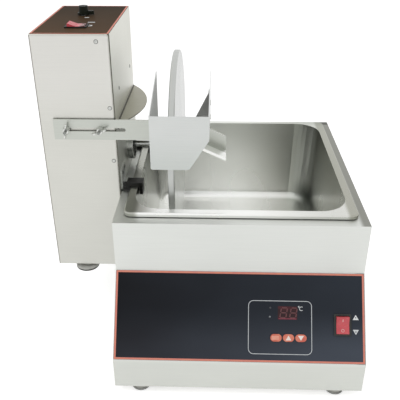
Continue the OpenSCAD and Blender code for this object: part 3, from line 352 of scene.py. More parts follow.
@dataclass(frozen=True)
class BrushedStainless(Finish):
    """Type 304 stainless sheet with a belt-brushed No. 4 face.

    It gives the eye long faint level lines and a soft broad gloss, with a few rubbed patches.
    """

    dark: str
    rough: float
    # Real lines are 0.1 mm apart, too fine to show here, so they are drawn at 0.9 mm
    line_mm: float = 0.9
    stroke_mm: float = 60.0
    patch_mm: Point3 = (140.0, 140.0, 90.0)
    patch_share: float = 0.45
    # Painted light and shade over the whole sheet, and more of it on its level faces only
    painted_light: tuple[PaintedLight, ...] = ()
    deck_painted_light: tuple[PaintedLight, ...] = ()

    def dress(self, surface: Surface) -> None:
        """Draw the brush lines level on upright faces and along X on flat ones.

        Args:
            surface: The material's nodes.
        """
        place = surface.add("ShaderNodeTexCoord")
        face = surface.add("ShaderNodeSeparateXYZ", {0: place.outputs["Normal"]})
        flat = surface.add("ShaderNodeMath", {0: face.outputs["Z"]}, operation="ABSOLUTE").outputs[0]
        parts = surface.add("ShaderNodeSeparateXYZ", {0: place.outputs["Object"]})
        across = surface.add("ShaderNodeMix", {"Factor": flat, "A": parts.outputs["Z"],
                                               "B": parts.outputs["Y"]})
        sizes = ((parts.outputs["X"], self.stroke_mm), (parts.outputs["Y"], self.stroke_mm),
                 (across.outputs[0], self.line_mm))
        scaled = {i: surface.add("ShaderNodeMath", {0: part, 1: 1 / (size * MM)},
                                 operation="MULTIPLY").outputs[0] for i, (part, size) in enumerate(sizes)}
        lines_at = surface.add("ShaderNodeCombineXYZ", scaled)
        lines = surface.add("ShaderNodeTexNoise", {"Vector": lines_at.outputs[0], "Scale": 1.0,
                                                   "Detail": 4.0, "Roughness": 0.6}).outputs["Fac"]
        patches = surface.grain(*self.patch_mm, detail=2.0)
        both = surface.add("ShaderNodeMix", {"Factor": self.patch_share, "A": lines, "B": patches}).outputs[0]
        # Paint light and shade by place, then more of it on the level faces only
        colour = surface.shade(surface.between(both, self.dark, self.colour), self.painted_light)
        colour = surface.shade(colour, self.deck_painted_light, where=flat)
        surface.coat(colour, surface.span(both, self.rough + 0.03, self.rough - 0.02), {"Metallic": 1.0})
        surface.relief(lines, strength=0.03, depth_mm=0.01)


@dataclass(frozen=True)
class DrawnStainless(Finish):
    """Deep-drawn stainless, tumbled and polished, for the lift-out pan and the tank.

    It gives the eye soft broad reflections, with faint upright draw marks on the walls.
    """

    dark: str = "#A9ABA6"
    rough: float = 0.2
    mark_mm: Point3 = (9.0, 9.0, 160.0)
    cloud_mm: Point3 = (110.0, 110.0, 150.0)
    cloud_share: float = 0.75
    # Painted light and shade by place
    painted_light: tuple[PaintedLight, ...] = ()

    def dress(self, surface: Surface) -> None:
        """Draw the pulled marks down the walls and rubbed clouds over all.

        Args:
            surface: The material's nodes.
        """
        marks = surface.grain(*self.mark_mm, detail=0.0)
        clouds = surface.grain(*self.cloud_mm, detail=0.0)
        both = surface.add("ShaderNodeMix", {"Factor": self.cloud_share, "A": marks, "B": clouds})
        colour = surface.between(both.outputs[0], self.dark, self.colour, start=0.0, end=1.0)
        rough = surface.span(clouds, self.rough + 0.03, self.rough - 0.03, start=0.0, end=1.0)
        surface.coat(surface.shade(colour, self.painted_light), rough, {"Metallic": 1.0})


@dataclass(frozen=True)
class TurnedStainless(Finish):
    """Stainless turned on a lathe: the wheel's rim and faces.

    It gives the eye fine rings round the axis, satin on the rim and brighter on the faces.
    """

    dark: str
    rough: float = 0.22
    # The wheel's axis lies along X, at this Y and Z
    middle: Point2 = (193.0, 276.0)
    # Real tool marks are 0.15 mm apart, too fine to show here, so they are drawn at 1.6 mm
    ring_mm: float = 1.6
    cloud_mm: Point3 = (60.0, 90.0, 90.0)
    # From here outwards the rim is rougher than the faces
    rim_mm: Point2 = (146.1, 146.9)
    rim_rough: float = 0.18

    def dress(self, surface: Surface) -> None:
        """Draw rings by the distance from the axis.

        Args:
            surface: The material's nodes.
        """
        centre = spot(0.0, *self.middle)
        place = surface.add("ShaderNodeTexCoord")
        shifted = surface.add("ShaderNodeVectorMath", {0: place.outputs["Object"],
                                                       1: (0, centre.y, centre.z)}, operation="SUBTRACT")
        flat = surface.add("ShaderNodeVectorMath", {0: shifted.outputs[0], 1: (0, 1, 1)},
                           operation="MULTIPLY")
        away = surface.add("ShaderNodeVectorMath", {0: flat.outputs[0]}, operation="LENGTH").outputs["Value"]
        rings_at = surface.add("ShaderNodeMath", {0: away, 1: 1 / (self.ring_mm * MM)}, operation="MULTIPLY")
        across = surface.add("ShaderNodeCombineXYZ", {0: rings_at.outputs[0]})
        rings = surface.add("ShaderNodeTexNoise", {"Vector": across.outputs[0], "Scale": 1.0,
                                                   "Detail": 3.0}).outputs["Fac"]
        clouds = surface.grain(*self.cloud_mm, detail=2.0)
        both = surface.add("ShaderNodeMix", {"Factor": 0.5, "A": rings, "B": clouds}).outputs[0]
        low, high = self.rim_mm
        rim = surface.span(away, 0.0, self.rim_rough, start=low * MM, end=high * MM)
        faces = surface.span(both, self.rough + 0.04, self.rough - 0.04)
        rough = surface.add("ShaderNodeMath", {0: faces, 1: rim}, operation="ADD")
        surface.coat(surface.between(both, self.dark, self.colour), rough.outputs[0], {"Metallic": 1.0})
        surface.relief(rings, strength=0.06, depth_mm=0.03)


@dataclass(frozen=True)
class MachinedSteel(Finish):
    """Cold-headed and turned steel: screws, studs, rivets, nuts and the bracket.

    It gives the eye small bright facets with a fine mottled gloss.
    """

    dark: str = "#8E908D"
    rough: float = 0.28
    mottle_mm: float = 1.4
    # Painted light and shade by place
    painted_light: tuple[PaintedLight, ...] = ()

    def dress(self, surface: Surface) -> None:
        """Mottle the colour and the gloss a little.

        Args:
            surface: The material's nodes.
        """
        spots = surface.grain(self.mottle_mm)
        colour = surface.shade(surface.between(spots, self.dark, self.colour), self.painted_light)
        surface.coat(colour, surface.span(spots, self.rough + 0.08, self.rough - 0.05), {"Metallic": 1.0})
        surface.relief(spots, strength=0.1, depth_mm=0.03)


@dataclass(frozen=True)
class PrintedFilm(Finish):
    """Polycarbonate film printed on its back, with a fine satin front.

    It gives the eye a deep even colour under a thin soft gloss.
    """

    far: str
    rough: float = 0.3
    gloss: float = 0.06
    # Where the colour goes from the first to the second, along the film's own length
    along: Axis = Axis.X
    start_mm: float = 0.0
    end_mm: float = 350.0
    cloud_mm: Point3 = (90.0, 60.0, 40.0)
    cloud_share: float = 0.25
    # The real satin grain is 0.05 mm, too fine to show here, so it is drawn at 0.8 mm
    satin_mm: float = 0.8
    # Painted light and shade by place
    painted_light: tuple[PaintedLight, ...] = ()

    def dress(self, surface: Surface) -> None:
        """Blend the colour slowly along the film into the second one, and give its front a fine grain.

        Args:
            surface: The material's nodes.
        """
        slow = surface.reach(self.along, self.start_mm, self.end_mm, even=True)
        clouds = surface.grain(*self.cloud_mm, detail=1.0)
        mixed = surface.add("ShaderNodeMix", {"Factor": self.cloud_share, "A": slow, "B": clouds})
        colour = surface.between(mixed.outputs[0], self.colour, self.far, start=0.05, end=0.9)
        fine = surface.grain(self.satin_mm, detail=2.0)
        rough = surface.span(fine, self.rough - 0.03, self.rough + 0.05)
        surface.coat(surface.shade(colour, self.painted_light), rough,
                     {"IOR": 1.58, "Specular IOR Level": self.gloss})
        surface.relief(fine, strength=0.05, depth_mm=0.02)


@dataclass(frozen=True)
class ScreenInk(Finish):
    """Screen-printed ink: the lines and small marks on the films.

    It gives the eye a flat matt line with slightly uneven cover.
    """

    thin: str
    rough: float = 0.55
    cover_mm: float = 9.0

    def dress(self, surface: Surface) -> None:
        """Vary the ink's cover along the line.

        Args:
            surface: The material's nodes.
        """
        cover = surface.grain(self.cover_mm)
        surface.coat(surface.between(cover, self.thin, self.colour),
                     surface.span(cover, self.rough + 0.08, self.rough - 0.05))
        surface.relief(cover, strength=0.1, depth_mm=0.02)


@dataclass(frozen=True)
class MouldedPlastic(Finish):
    """Injection-moulded plastic with a spark-eroded grain from its tool.

    It gives the eye a fine even grain and a gloss that fades on rubbed places.
    """

    worn: str
    rough: float = 0.42
    # Real grain is 0.1 mm, too fine to show here, so it is drawn at 0.7 mm
    grain_mm: float = 0.7
    rub_mm: float = 14.0
    # How much light passes through, and how glossy the skin is
    through: float = 0.0
    gloss: float = 0.5
    # Painted light and shade by place
    painted_light: tuple[PaintedLight, ...] = ()

    def dress(self, surface: Surface) -> None:
        """Grain the skin and rub it here and there.

        Args:
            surface: The material's nodes.
        """
        skin = surface.grain(self.grain_mm, detail=2.0)
        rubs = surface.grain(self.rub_mm, detail=2.0)
        colour = surface.between(rubs, self.colour, self.worn, start=0.35, end=0.75)
        rough = surface.span(rubs, self.rough + 0.06, self.rough - 0.06)
        surface.coat(surface.shade(colour, self.painted_light), rough,
                     {"IOR": 1.52, "Specular IOR Level": self.gloss, "Subsurface Weight": self.through,
                      "Subsurface Scale": 2 * MM})
        surface.relief(skin, strength=0.2, depth_mm=0.03)


@dataclass(frozen=True)
class PressedRubber(Finish):
    """Compression-moulded rubber of the feet.

    It gives the eye a matt and dusty body, with painted shade along its lower edge.
    """

    dust: str
    # The painted shade along the lower edge is full up to the first height and gone at the second, and edge
    # is its colour
    foot_shade_mm: Point2
    edge: str = "#3A3A38"
    rough: Point2 = (0.7, 0.9)
    dust_mm: float = 6.0
    # Real grain is 0.2 mm, too fine to show here, so it is drawn at 0.9 mm
    grain_mm: float = 0.9

    def dress(self, surface: Surface) -> None:
        """Dust the rubber, paint shade along its lower edge and keep it matt.

        Args:
            surface: The material's nodes.
        """
        dust = surface.grain(self.dust_mm, detail=4.0)
        colour = surface.between(dust, self.colour, self.dust, start=0.4, end=0.8)
        low, high = self.foot_shade_mm
        # Paint shade along the lower edge
        colour = surface.shade(colour, [PaintedLight(Axis.Z, high, low, self.edge)])
        surface.coat(colour, surface.span(dust, *self.rough), {"IOR": 1.5})
        surface.relief(surface.grain(self.grain_mm, detail=2.0), strength=0.25, depth_mm=0.05)


@dataclass(frozen=True)
class CoatedLaminate(Finish):
    """Glass-epoxy circuit board under a green solder mask.

    It gives the eye an even green with faint copper runs below it.
    """

    copper: str = "#2F7A45"
    # A brick is half as wide as the pitch, and a copper run is the share of it that comes next
    pitch_mm: float = 7.7
    run_share: float = 0.03
    rough: Point2 = (0.25, 0.4)
    gloss_mm: float = 8.0

    def dress(self, surface: Surface) -> None:
        """Show the copper runs as lighter lines under the mask.

        Args:
            surface: The material's nodes.
        """
        place = surface.add("ShaderNodeTexCoord")
        green = linear(self.colour)
        runs = surface.add("ShaderNodeTexBrick", {"Vector": place.outputs["Object"],
                                                  "Scale": 1 / (self.pitch_mm * MM), "Color1": green,
                                                  "Color2": green, "Mortar": linear(self.copper),
                                                  "Mortar Size": self.run_share})
        gloss = surface.grain(self.gloss_mm, detail=2.0)
        surface.coat(runs.outputs["Color"], surface.span(gloss, *self.rough))
        surface.relief(runs.outputs["Fac"], strength=0.2, depth_mm=0.04)


@dataclass(frozen=True)
class CastAluminium(Finish):
    """Pressure-cast aluminium of the gearbox, shot-blasted.

    It gives the eye a pale metal with a sandy grain.
    """

    dark: str = "#8C8E90"
    rough: Point2 = (0.45, 0.6)
    sand_mm: float = 0.8
    flow_mm: float = 25.0

    def dress(self, surface: Surface) -> None:
        """Give the casting its sandy grain.

        Args:
            surface: The material's nodes.
        """
        sand = surface.grain(self.sand_mm, detail=4.0)
        flow = surface.grain(self.flow_mm, detail=2.0)
        surface.coat(surface.between(flow, self.dark, self.colour), surface.span(sand, *self.rough),
                     {"Metallic": 0.9})
        surface.relief(sand, strength=0.35, depth_mm=0.08)


@dataclass(frozen=True)
class StovedEnamel(Finish):
    """Stoved enamel on the motor's drawn shell.

    It gives the eye a semi-gloss with a slight orange peel.
    """

    worn: str = "#6B6E72"
    rough: Point2 = (0.3, 0.4)
    peel_mm: float = 2.2
    rub_mm: float = 30.0

    def dress(self, surface: Surface) -> None:
        """Give the paint its orange peel.

        Args:
            surface: The material's nodes.
        """
        peel = surface.grain(self.peel_mm, detail=1.0)
        rubs = surface.grain(self.rub_mm, detail=4.0)
        surface.coat(surface.between(rubs, self.colour, self.worn, start=0.5, end=0.8),
                     surface.span(rubs, *self.rough), {"Coat Weight": 0.3})
        surface.relief(peel, strength=0.12, depth_mm=0.05)


@dataclass(frozen=True)
class OxidisedSteel(Finish):
    """Tubular stainless sheath of a heater after firing.

    It gives the eye a bronze-brown oxide clouded with blue.
    """

    blue: str = "#5E6068"
    rough: Point2 = (0.35, 0.5)
    cloud_mm: float = 20.0

    def dress(self, surface: Surface) -> None:
        """Cloud the sheath with heat tints.

        Args:
            surface: The material's nodes.
        """
        heat = surface.grain(self.cloud_mm)
        surface.coat(surface.between(heat, self.blue, self.colour), surface.span(heat, *self.rough),
                     {"Metallic": 1.0})
        surface.relief(heat, strength=0.1, depth_mm=0.05)


@dataclass(frozen=True)
class TintedAcrylic(Finish):
    """Smoked red acrylic of the display window.

    It gives the eye a near black with a wet gloss and a dim red depth.
    """

    deep: str = "#2A0E13"
    rough: Point2 = (0.12, 0.22)
    deep_mm: Point3 = (26.0, 26.0, 9.0)
    smear_mm: float = 4.0

    def dress(self, surface: Surface) -> None:
        """Let a dim red show low in the window.

        Args:
            surface: The material's nodes.
        """
        depth = surface.grain(*self.deep_mm, detail=1.0)
        smear = surface.grain(self.smear_mm, detail=2.0)
        surface.coat(surface.between(depth, self.deep, self.colour), surface.span(smear, *self.rough),
                     {"IOR": 1.49, "Specular IOR Level": 0.3})


@dataclass(frozen=True)
class DiodeLens(Finish):
    """Diffused epoxy of a lamp or a display bar.

    It gives the eye a milky body with a dim glow of its own.
    """

    deep: str
    glow: float = 0.0
    rough: Point2 = (0.25, 0.45)
    milk_mm: float = 1.5

    def dress(self, surface: Surface) -> None:
        """Light the lens dimly and unevenly.

        Args:
            surface: The material's nodes.
        """
        milk = surface.grain(self.milk_mm, detail=2.0)
        colour = surface.between(milk, self.deep, self.colour)
        surface.coat(colour, surface.span(milk, *self.rough),
                     {"Emission Color": colour, "Emission Strength": self.glow})


@dataclass(frozen=True)
class SeamlessPaper(Finish):
    """White paper of the studio floor.

    It stays white to the eye and in the metal, with the shadow kept.
    """

    fibre: str = "#EFEFEF"
    rough: float = 0.95
    # Real fibres are 0.03 mm thick, too fine to show here, so they are drawn as 3 mm clouds
    fibre_mm: float = 3.0
    own_light: float = 0.5
    mirror_light: float = 0.33

    def dress(self, surface: Surface) -> None:
        """Add the paper's own white for camera, mirror and glass rays only.

        Args:
            surface: The material's nodes.
        """
        rays = surface.add("ShaderNodeLightPath")
        mirrored = surface.add("ShaderNodeMath", {0: rays.outputs["Is Glossy Ray"],
                                                  1: rays.outputs["Is Transmission Ray"]},
                               operation="MAXIMUM")
        seen = surface.add("ShaderNodeMath", {0: rays.outputs["Is Camera Ray"], 1: self.own_light},
                           operation="MULTIPLY")
        light = surface.add("ShaderNodeMath", {0: mirrored.outputs[0], 1: self.mirror_light,
                                               2: seen.outputs[0]}, operation="MULTIPLY_ADD")
        surface.coat(surface.between(surface.grain(self.fibre_mm), self.fibre, self.colour), self.rough,
                     {"Specular IOR Level": 0.0, "Emission Color": (1, 1, 1, 1),
                      "Emission Strength": light.outputs[0]})


WHITE_INK = ScreenInk("white_screen_ink", "#E6E8E8", thin="#C9CCCE")
LINE_INK = ScreenInk("grey_screen_ink", "#D3D6D8", thin="#BFC3C6")
BORDER_INK = ScreenInk("orange_red_screen_ink", "#DE8C74", thin="#D48074")
KEY_INK = ScreenInk("cream_screen_ink", "#F6EDE6", thin="#EBDCD2")
KEY_PATCH_INK = ScreenInk("pale_key_ink", "#E8A692", thin="#E2967F")


def round_box(u: float, v: float, wide: float, high: float, r: float, steps: int = 6) -> Loop:
    """Outline of a rounded rectangle about its middle.

    Args:
        u: The middle's first place, in millimetres.
        v: The middle's second place.
        wide: The width.
        high: The height.
        r: The corners' radius.
        steps: Points on each corner, less one.

    Returns:
        The outline's points.
    """
    loop: Loop = []
    for quarter, (su, sv) in enumerate(((1, 1), (-1, 1), (-1, -1), (1, -1))):
        for i in range(steps + 1):
            turn = math.pi / 2 * (quarter + i / steps)
            loop.append((u + su * (wide / 2 - r) + r * math.cos(turn),
                         v + sv * (high / 2 - r) + r * math.sin(turn)))
    return loop


def ring_points(u: float, v: float, r: float, start: float = 0.0, sweep: float = 360.0,
                steps: int = 24) -> Loop:
    """Points on an arc, or on a full circle without the last one.

    Args:
        u: The middle's first place, in millimetres.
        v: The middle's second place.
        r: The radius.
        start: Where the arc starts, in degrees.
        sweep: How far it goes round.
        steps: Its equal steps.

    Returns:
        The points.
    """
    count = steps if sweep >= 360 else steps + 1
    turns = [math.radians(start + sweep * i / steps) for i in range(count)]
    return [(u + r * math.cos(turn), v + r * math.sin(turn)) for turn in turns]


def show(name: str, mesh: bmesh.types.BMesh, finish: Finish) -> bpy.types.Object:
    """Turn a mesh into an object of the scene.

    Args:
        name: The object's name.
        mesh: The mesh, which is used up.
        finish: The object's finish.

    Returns:
        The new object.
    """
    data = bpy.data.meshes.new(name)
    mesh.to_mesh(data)
    mesh.free()
    data.materials.append(finish.make())
    piece = bpy.data.objects.new(name, data)
    bpy.context.scene.collection.objects.link(piece)
    return piece


@dataclass(frozen=True)
class Face:
    """A flat face of the machine with two directions of its own and one outwards."""

    corner: Point3
    right: Point3
    down: Point3
    out: Point3

    def place(self, u: float, v: float, w: float) -> Vector:
        """A place on the face in the machine's millimetres, from those along its three directions."""
        return Vector(self.corner) + u * Vector(self.right) + v * Vector(self.down) + w * Vector(self.out)

    def at(self, u: float, v: float, w: float) -> Vector:
        """The same place in the scene's metres."""
        return spot(*self.place(u, v, w))

    def tilted(self, u: float, v: float, w: float, degrees: float = 0.0) -> "Face":
        """A face through one place of this one, turned about its right direction.

        Args:
            u: The place along the right direction.
            v: The place along the down direction.
            w: The place outwards.
            degrees: How far the down direction turns outwards.

        Returns:
            The turned face.
        """
        turn = math.radians(degrees)
        down = math.cos(turn) * Vector(self.down) + math.sin(turn) * Vector(self.out)
        out = math.cos(turn) * Vector(self.out) - math.sin(turn) * Vector(self.down)
        return Face(tuple(self.place(u, v, w)), self.right, tuple(down), tuple(out))

    def flipped(self) -> "Face":
        """The same face with its outward direction turned round."""
        return Face(self.corner, self.right, self.down, tuple(-c for c in self.out))


@dataclass
class Marks:
    """Thin marks of one finish on one face, made as one mesh."""

    name: str
    face: Face
    base: float
    high: float = 0.06
    mesh: bmesh.types.BMesh = field(default_factory=bmesh.new)

    def row(self, loop: Loop, height: float) -> list[bmesh.types.BMVert]:
        """Add a loop's points at one height over the face."""
        return [self.mesh.verts.new(self.face.at(u, v, height)) for u, v in loop]

    def wall(self, low: list[bmesh.types.BMVert], top: list[bmesh.types.BMVert]) -> None:
        """Close the strip between two rows of as many points.

        Args:
            low: The first row.
            top: The second row.
        """
        for i in range(len(low)):
            j = (i + 1) % len(low)
            self.mesh.faces.new((low[i], low[j], top[j], top[i]))

    def patch(self, loop: Loop) -> None:
        """Add a filled outline as a thin plate.

        Args:
            loop: The outline's points.
        """
        low, top = self.row(loop, self.base), self.row(loop, self.base + self.high)
        self.mesh.faces.new(top)
        self.mesh.faces.new(list(reversed(low)))
        self.wall(low, top)

    def band(self, outer: Loop, inner: Loop) -> None:
        """Add the strip between two outlines with as many points.

        Args:
            outer: The outer outline.
            inner: The inner one.
        """
        top = self.base + self.high
        rows = [self.row(outer, self.base), self.row(outer, top), self.row(inner, top),
                self.row(inner, self.base)]
        for lower, upper in zip(rows, rows[1:] + rows[:1]):
            self.wall(lower, upper)

    def frame_line(self, box: Box, line: float, radii: Point2, steps: int = 6) -> None:
        """Add a rounded line just inside a box.

        Args:
            box: The box's lowest and then its highest two places.
            line: The line's width.
            radii: The corners' outer and inner radius.
            steps: Points on each corner, less one.
        """
        wide, high = box[2] - box[0], box[3] - box[1]
        middle = ((box[0] + box[2]) / 2, (box[1] + box[3]) / 2)
        self.band(round_box(*middle, wide, high, radii[0], steps),
                  round_box(*middle, wide - 2 * line, high - 2 * line, radii[1], steps))

    def stroke(self, points: Loop, wide: float) -> None:
        """Add an open line of one width with square ends.

        Args:
            points: The line's points.
            wide: Its width in millimetres.
        """
        left: Loop = []
        right: Loop = []
        for i, (u, v) in enumerate(points):
            before, after = points[max(i - 1, 0)], points[min(i + 1, len(points) - 1)]
            du, dv = after[0] - before[0], after[1] - before[1]
            size = math.hypot(du, dv)
            left.append((u - dv / size * wide / 2, v + du / size * wide / 2))
            right.append((u + dv / size * wide / 2, v - du / size * wide / 2))
        for i in range(len(points) - 1):
            self.patch([left[i], left[i + 1], right[i + 1], right[i]])

    def dome(self, u: float, v: float, r: float, rise: float) -> None:
        """Add a low round lens.

        Args:
            u: The middle's first place.
            v: The middle's second place.
            r: The lens's radius.
            rise: Its height at the middle.
        """
        rows = [self.row(ring_points(u, v, r * share), self.base + rise * math.sqrt(1 - share * share))
                for share in (1.0, 0.92, 0.72, 0.4)]
        for lower, upper in zip(rows, rows[1:]):
            self.wall(lower, upper)
        self.mesh.faces.new(rows[-1])

    def ride(self, body: str, finish: Finish) -> None:
        """Turn the marks into one object that rides on a body.

        Args:
            body: The body's name.
            finish: The marks' finish.
        """
        bmesh.ops.recalc_face_normals(self.mesh, faces=self.mesh.faces)
        piece = show(self.name, self.mesh, finish)
        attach(piece, body)
        logging.info("%s rides on %s", self.name, body)


@dataclass(frozen=True)
class Rocker:
    """The marks on a rocker's two sloping halves, which meet over its pivot."""

    name: str
    body: str
    face: Face
    # A half's length and the ridge's height in millimetres, then the whole rocker's tilt at rest
    # and each half's slope away from the ridge in degrees
    half: float = 11.8
    ridge: float = 2.4
    rest_tilt: float = 8.0
    slope: float = 10.56
    # The marks lie this far over the plastic
    lift: float = 0.02
    bar_wide: float = 1.1
    ring_r: Point2 = (2.3, 1.5)
    # The bar's ends and the ring's middle, as shares of a half's length from the ridge
    bar_ends: Point2 = (0.42, 0.74)
    ring_at: float = 0.62

    def build(self) -> None:
        """Print a bar on one half and a ring on the other."""
        ink = ScreenInk(f"{self.name}_ink", "#E9B9B6", thin="#DDA3A1")
        shift = self.ridge * math.sin(math.radians(self.rest_tilt))
        rise = self.ridge * math.cos(math.radians(self.rest_tilt))
        raised = self.face.tilted(0, shift, rise, 180 - self.slope - self.rest_tilt).flipped()
        pressed = self.face.tilted(0, shift, rise, self.slope - self.rest_tilt)
        bar = Marks(f"{self.name}_on_bar", raised, self.lift)
        bar.stroke([(0.0, self.half * end) for end in self.bar_ends], self.bar_wide)
        bar.ride(self.body, ink)
        ring = Marks(f"{self.name}_off_ring", pressed, self.lift)
        ring.band(*(ring_points(0, self.half * self.ring_at, r) for r in self.ring_r))
        ring.ride(self.body, ink)


@dataclass
class SubAssembly:
    """One sub-assembly of the machine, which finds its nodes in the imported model."""

    frame: Frame

    def dress(self, finish: Finish, *nodes: str) -> None:
        """Give carried-over nodes one finish.

        Args:
            finish: The finish.
            nodes: The nodes' names.
        """
        material = finish.make()
        for name in nodes:
            for slot in self.frame["nodes"][name].material_slots:
                slot.material = material
        logging.info("%s on %s", finish.name, ", ".join(nodes))

    def build(self) -> None:
        """Dress the nodes and add the finer pieces."""
        raise NotImplementedError


@dataclass
class Console(SubAssembly):
    """The sloping control panel: film, window, keys, lamps, switch and what is printed on them."""

    face: Face = Face((0.0, 0.0, 165.0), (1.0, 0.0, 0.0), (0.0, -0.5820, -0.8132), (0.0, -0.8132, 0.5820))
    film_top: float = 0.5
    border_box: Box = (1.3, 1.3, 348.7, 124.13)
    border: float = 2.6
    border_r: Point2 = (1.0, 0.4)
    outline_box: Box = (187.7, 40.0, 276.2, 113.5)
    outline: float = 0.85
    outline_r: Point2 = (7.5, 6.5)
    digit: Point2 = (8.4, 13.6)
    digit_us: Point2 = (231.6, 245.2)
    digit_v: float = 49.8
    slant: float = 2.4
    bar_wide: float = 1.5
    bar_gap: float = 0.9
    # The dim strip's middle, width, height and corner radius
    glow: tuple[float, ...] = (242.4, 64.7, 25.0, 1.4, 0.5)
    # The degree mark is a ring and an open arc, each as its middle and its radii or radius
    degree_ring: tuple[float, float, Point2] = (257.9, 47.9, (1.1, 0.5))
    degree_arc: Point3 = (261.6, 50.6, 2.6)
    degree_line: float = 0.8
    # A lamp's name, place, colour and glow
    lamps: tuple[tuple[str, float, float, str, float], ...] = (("first", 218.5, 49.9, "#3E4046", 0.0),
                                                               ("second", 217.7, 62.3, "#8E9396", 0.03))
    lamp_r: float = 1.4
    lamp_rise: float = 0.4
    keys: Point3 = (226.4, 243.6, 260.8)
    key_v: float = 90.8
    key_top: float = 1.4
    # The bare patch's shift from its key, width, height and corner radius
    key_patch: tuple[float, float, float, float] = (-1.0, 10.5, 5.6, 1.2)
    key_arrow: float = 0.95
    switch: Point2 = (318.3, 71.7)
    # The switch's two triangles: their middle, and the rows with the way that each points
    triangle_u: float = 336.6
    triangle_rows: tuple[tuple[float, int], ...] = ((61.3, -1), (81.4, 1))
    triangle_hole: float = 0.3
    # An arrow's half width, and how far its back and its tip lie from the middle
    arrow_shape: Point3 = (4.2, 3.4, 3.6)

    def build(self) -> None:
        """Dress the console's own nodes, and print the border, the outline and the marks."""
        # Painted light on the film: its colour grows lighter towards the right as a painted sheen, and darker
        # higher up as painted shade
        self.dress(PrintedFilm("console_polycarbonate_film", "#252529", far="#4A505A",
                               painted_light=(PaintedLight(Axis.Z, 72.0, 125.0, "#AEB0B2"),)), "console_overlay")
        self.dress(TintedAcrylic("smoked_red_acrylic", "#4E1820"), "display_window")
        self.dress(MouldedPlastic("red_translucent_polycarbonate", "#C44A52", worn="#D45A60", rough=0.3,
                                  through=0.15), "console_rocker")
        self.dress(MouldedPlastic("orange_red_key_silicone", "#CB6050", worn="#E08C72", rough=0.4,
                                  grain_mm=1.2, through=0.1), "set_button", "up_button", "down_button")
        self.dress(MouldedPlastic("black_abs", "#141513", worn="#23241F"), "console_switch_housing",
                   "display_module", "body_power_inlet")
        self.dress(CoatedLaminate("green_glass_epoxy", "#1E5A34"), "control_board")
        border = Marks("console_border_line", self.face, self.film_top)
        border.frame_line(self.border_box, self.border, self.border_r)
        border.ride("melter", BORDER_INK)
        outline = Marks("console_outline", self.face, self.film_top)
        outline.frame_line(self.outline_box, self.outline, self.outline_r, steps=10)
        outline.ride("melter", LINE_INK)
        self.build_digits()
        self.build_white_marks()
        self.build_lamps()
        self.build_key_marks()
        Rocker("main_rocker", "main_switch", self.face.tilted(*self.switch, 0.0)).build()

    def build_digits(self) -> None:
        """Raise two slanting digits of seven bars each, unlit, and the dim strip below them."""
        bars = Marks("display_digit_bars", self.face, self.film_top)
        wide, high = self.digit
        for u in self.digit_us:
            for bar in Bar:
                (ua, va), (ub, vb) = [(u + self.slant * (1 - share_v) + share_u * wide,
                                       self.digit_v + share_v * high) for share_u, share_v in bar.value]
                size = math.hypot(ub - ua, vb - va)
                cut_u, cut_v = (ub - ua) * self.bar_gap / size, (vb - va) * self.bar_gap / size
                bars.stroke([(ua + cut_u, va + cut_v), (ub - cut_u, vb - cut_v)], self.bar_wide)
        bars.ride("melter", DiodeLens("unlit_diode_bars", "#673B3E", deep="#5A3032"))
        strip = Marks("display_glow_strip", self.face, self.film_top, high=0.04)
        strip.patch(round_box(*self.glow))
        strip.ride("melter", DiodeLens("dim_red_diode_strip", "#7E2C40", deep="#6A2434"))

    def arrow(self, u: float, v: float, way: int, share: float) -> Loop:
        """A triangle round a place, which points down for 1 and up for -1.

        Args:
            u: The middle's first place.
            v: The middle's second place.
            way: Where it points.
            share: Its size as a share of the full arrow.

        Returns:
            Its corners.
        """
        half, back, tip = (size * share for size in self.arrow_shape)
        return [(u - half, v - way * back), (u + half, v - way * back), (u, v + way * tip)]

    def build_white_marks(self) -> None:
        """Print the degree mark and the two triangles beside the switch."""
        white = Marks("console_white_marks", self.face, self.film_top)
        u, v, radii = self.degree_ring
        white.band(*(ring_points(u, v, r) for r in radii))
        white.stroke(ring_points(*self.degree_arc, start=50, sweep=260, steps=12), self.degree_line)
        for v, way in self.triangle_rows:
            white.band(*(self.arrow(self.triangle_u, v, way, share) for share in (1.0, self.triangle_hole)))
        white.ride("melter", WHITE_INK)

    def build_lamps(self) -> None:
        """Set the two small lamps into the film."""
        for name, u, v, colour, glow in self.lamps:
            lens = Marks(f"{name}_lamp_lens", self.face, self.film_top)
            lens.dome(u, v, self.lamp_r, self.lamp_rise)
            epoxy = DiodeLens(f"{name}_lamp_epoxy", colour, deep="#3A3B3F", glow=glow)
            lens.ride("melter", epoxy)

    def build_key_marks(self) -> None:
        """Print a bare patch on the first key and an arrow on each of the others."""
        shift, wide, high, r = self.key_patch
        patch = Marks("set_key_patch", self.face, self.key_top)
        patch.patch(round_box(self.keys[0] + shift, self.key_v, wide, high, r))
        patch.ride("set_key", KEY_PATCH_INK)
        for name, u, way in (("up", self.keys[1], -1), ("down", self.keys[2], 1)):
            arrow = Marks(f"{name}_key_arrow", self.face, self.key_top)
            arrow.patch(self.arrow(u, self.key_v, way, self.key_arrow))
            arrow.ride(f"{name}_key", KEY_INK)


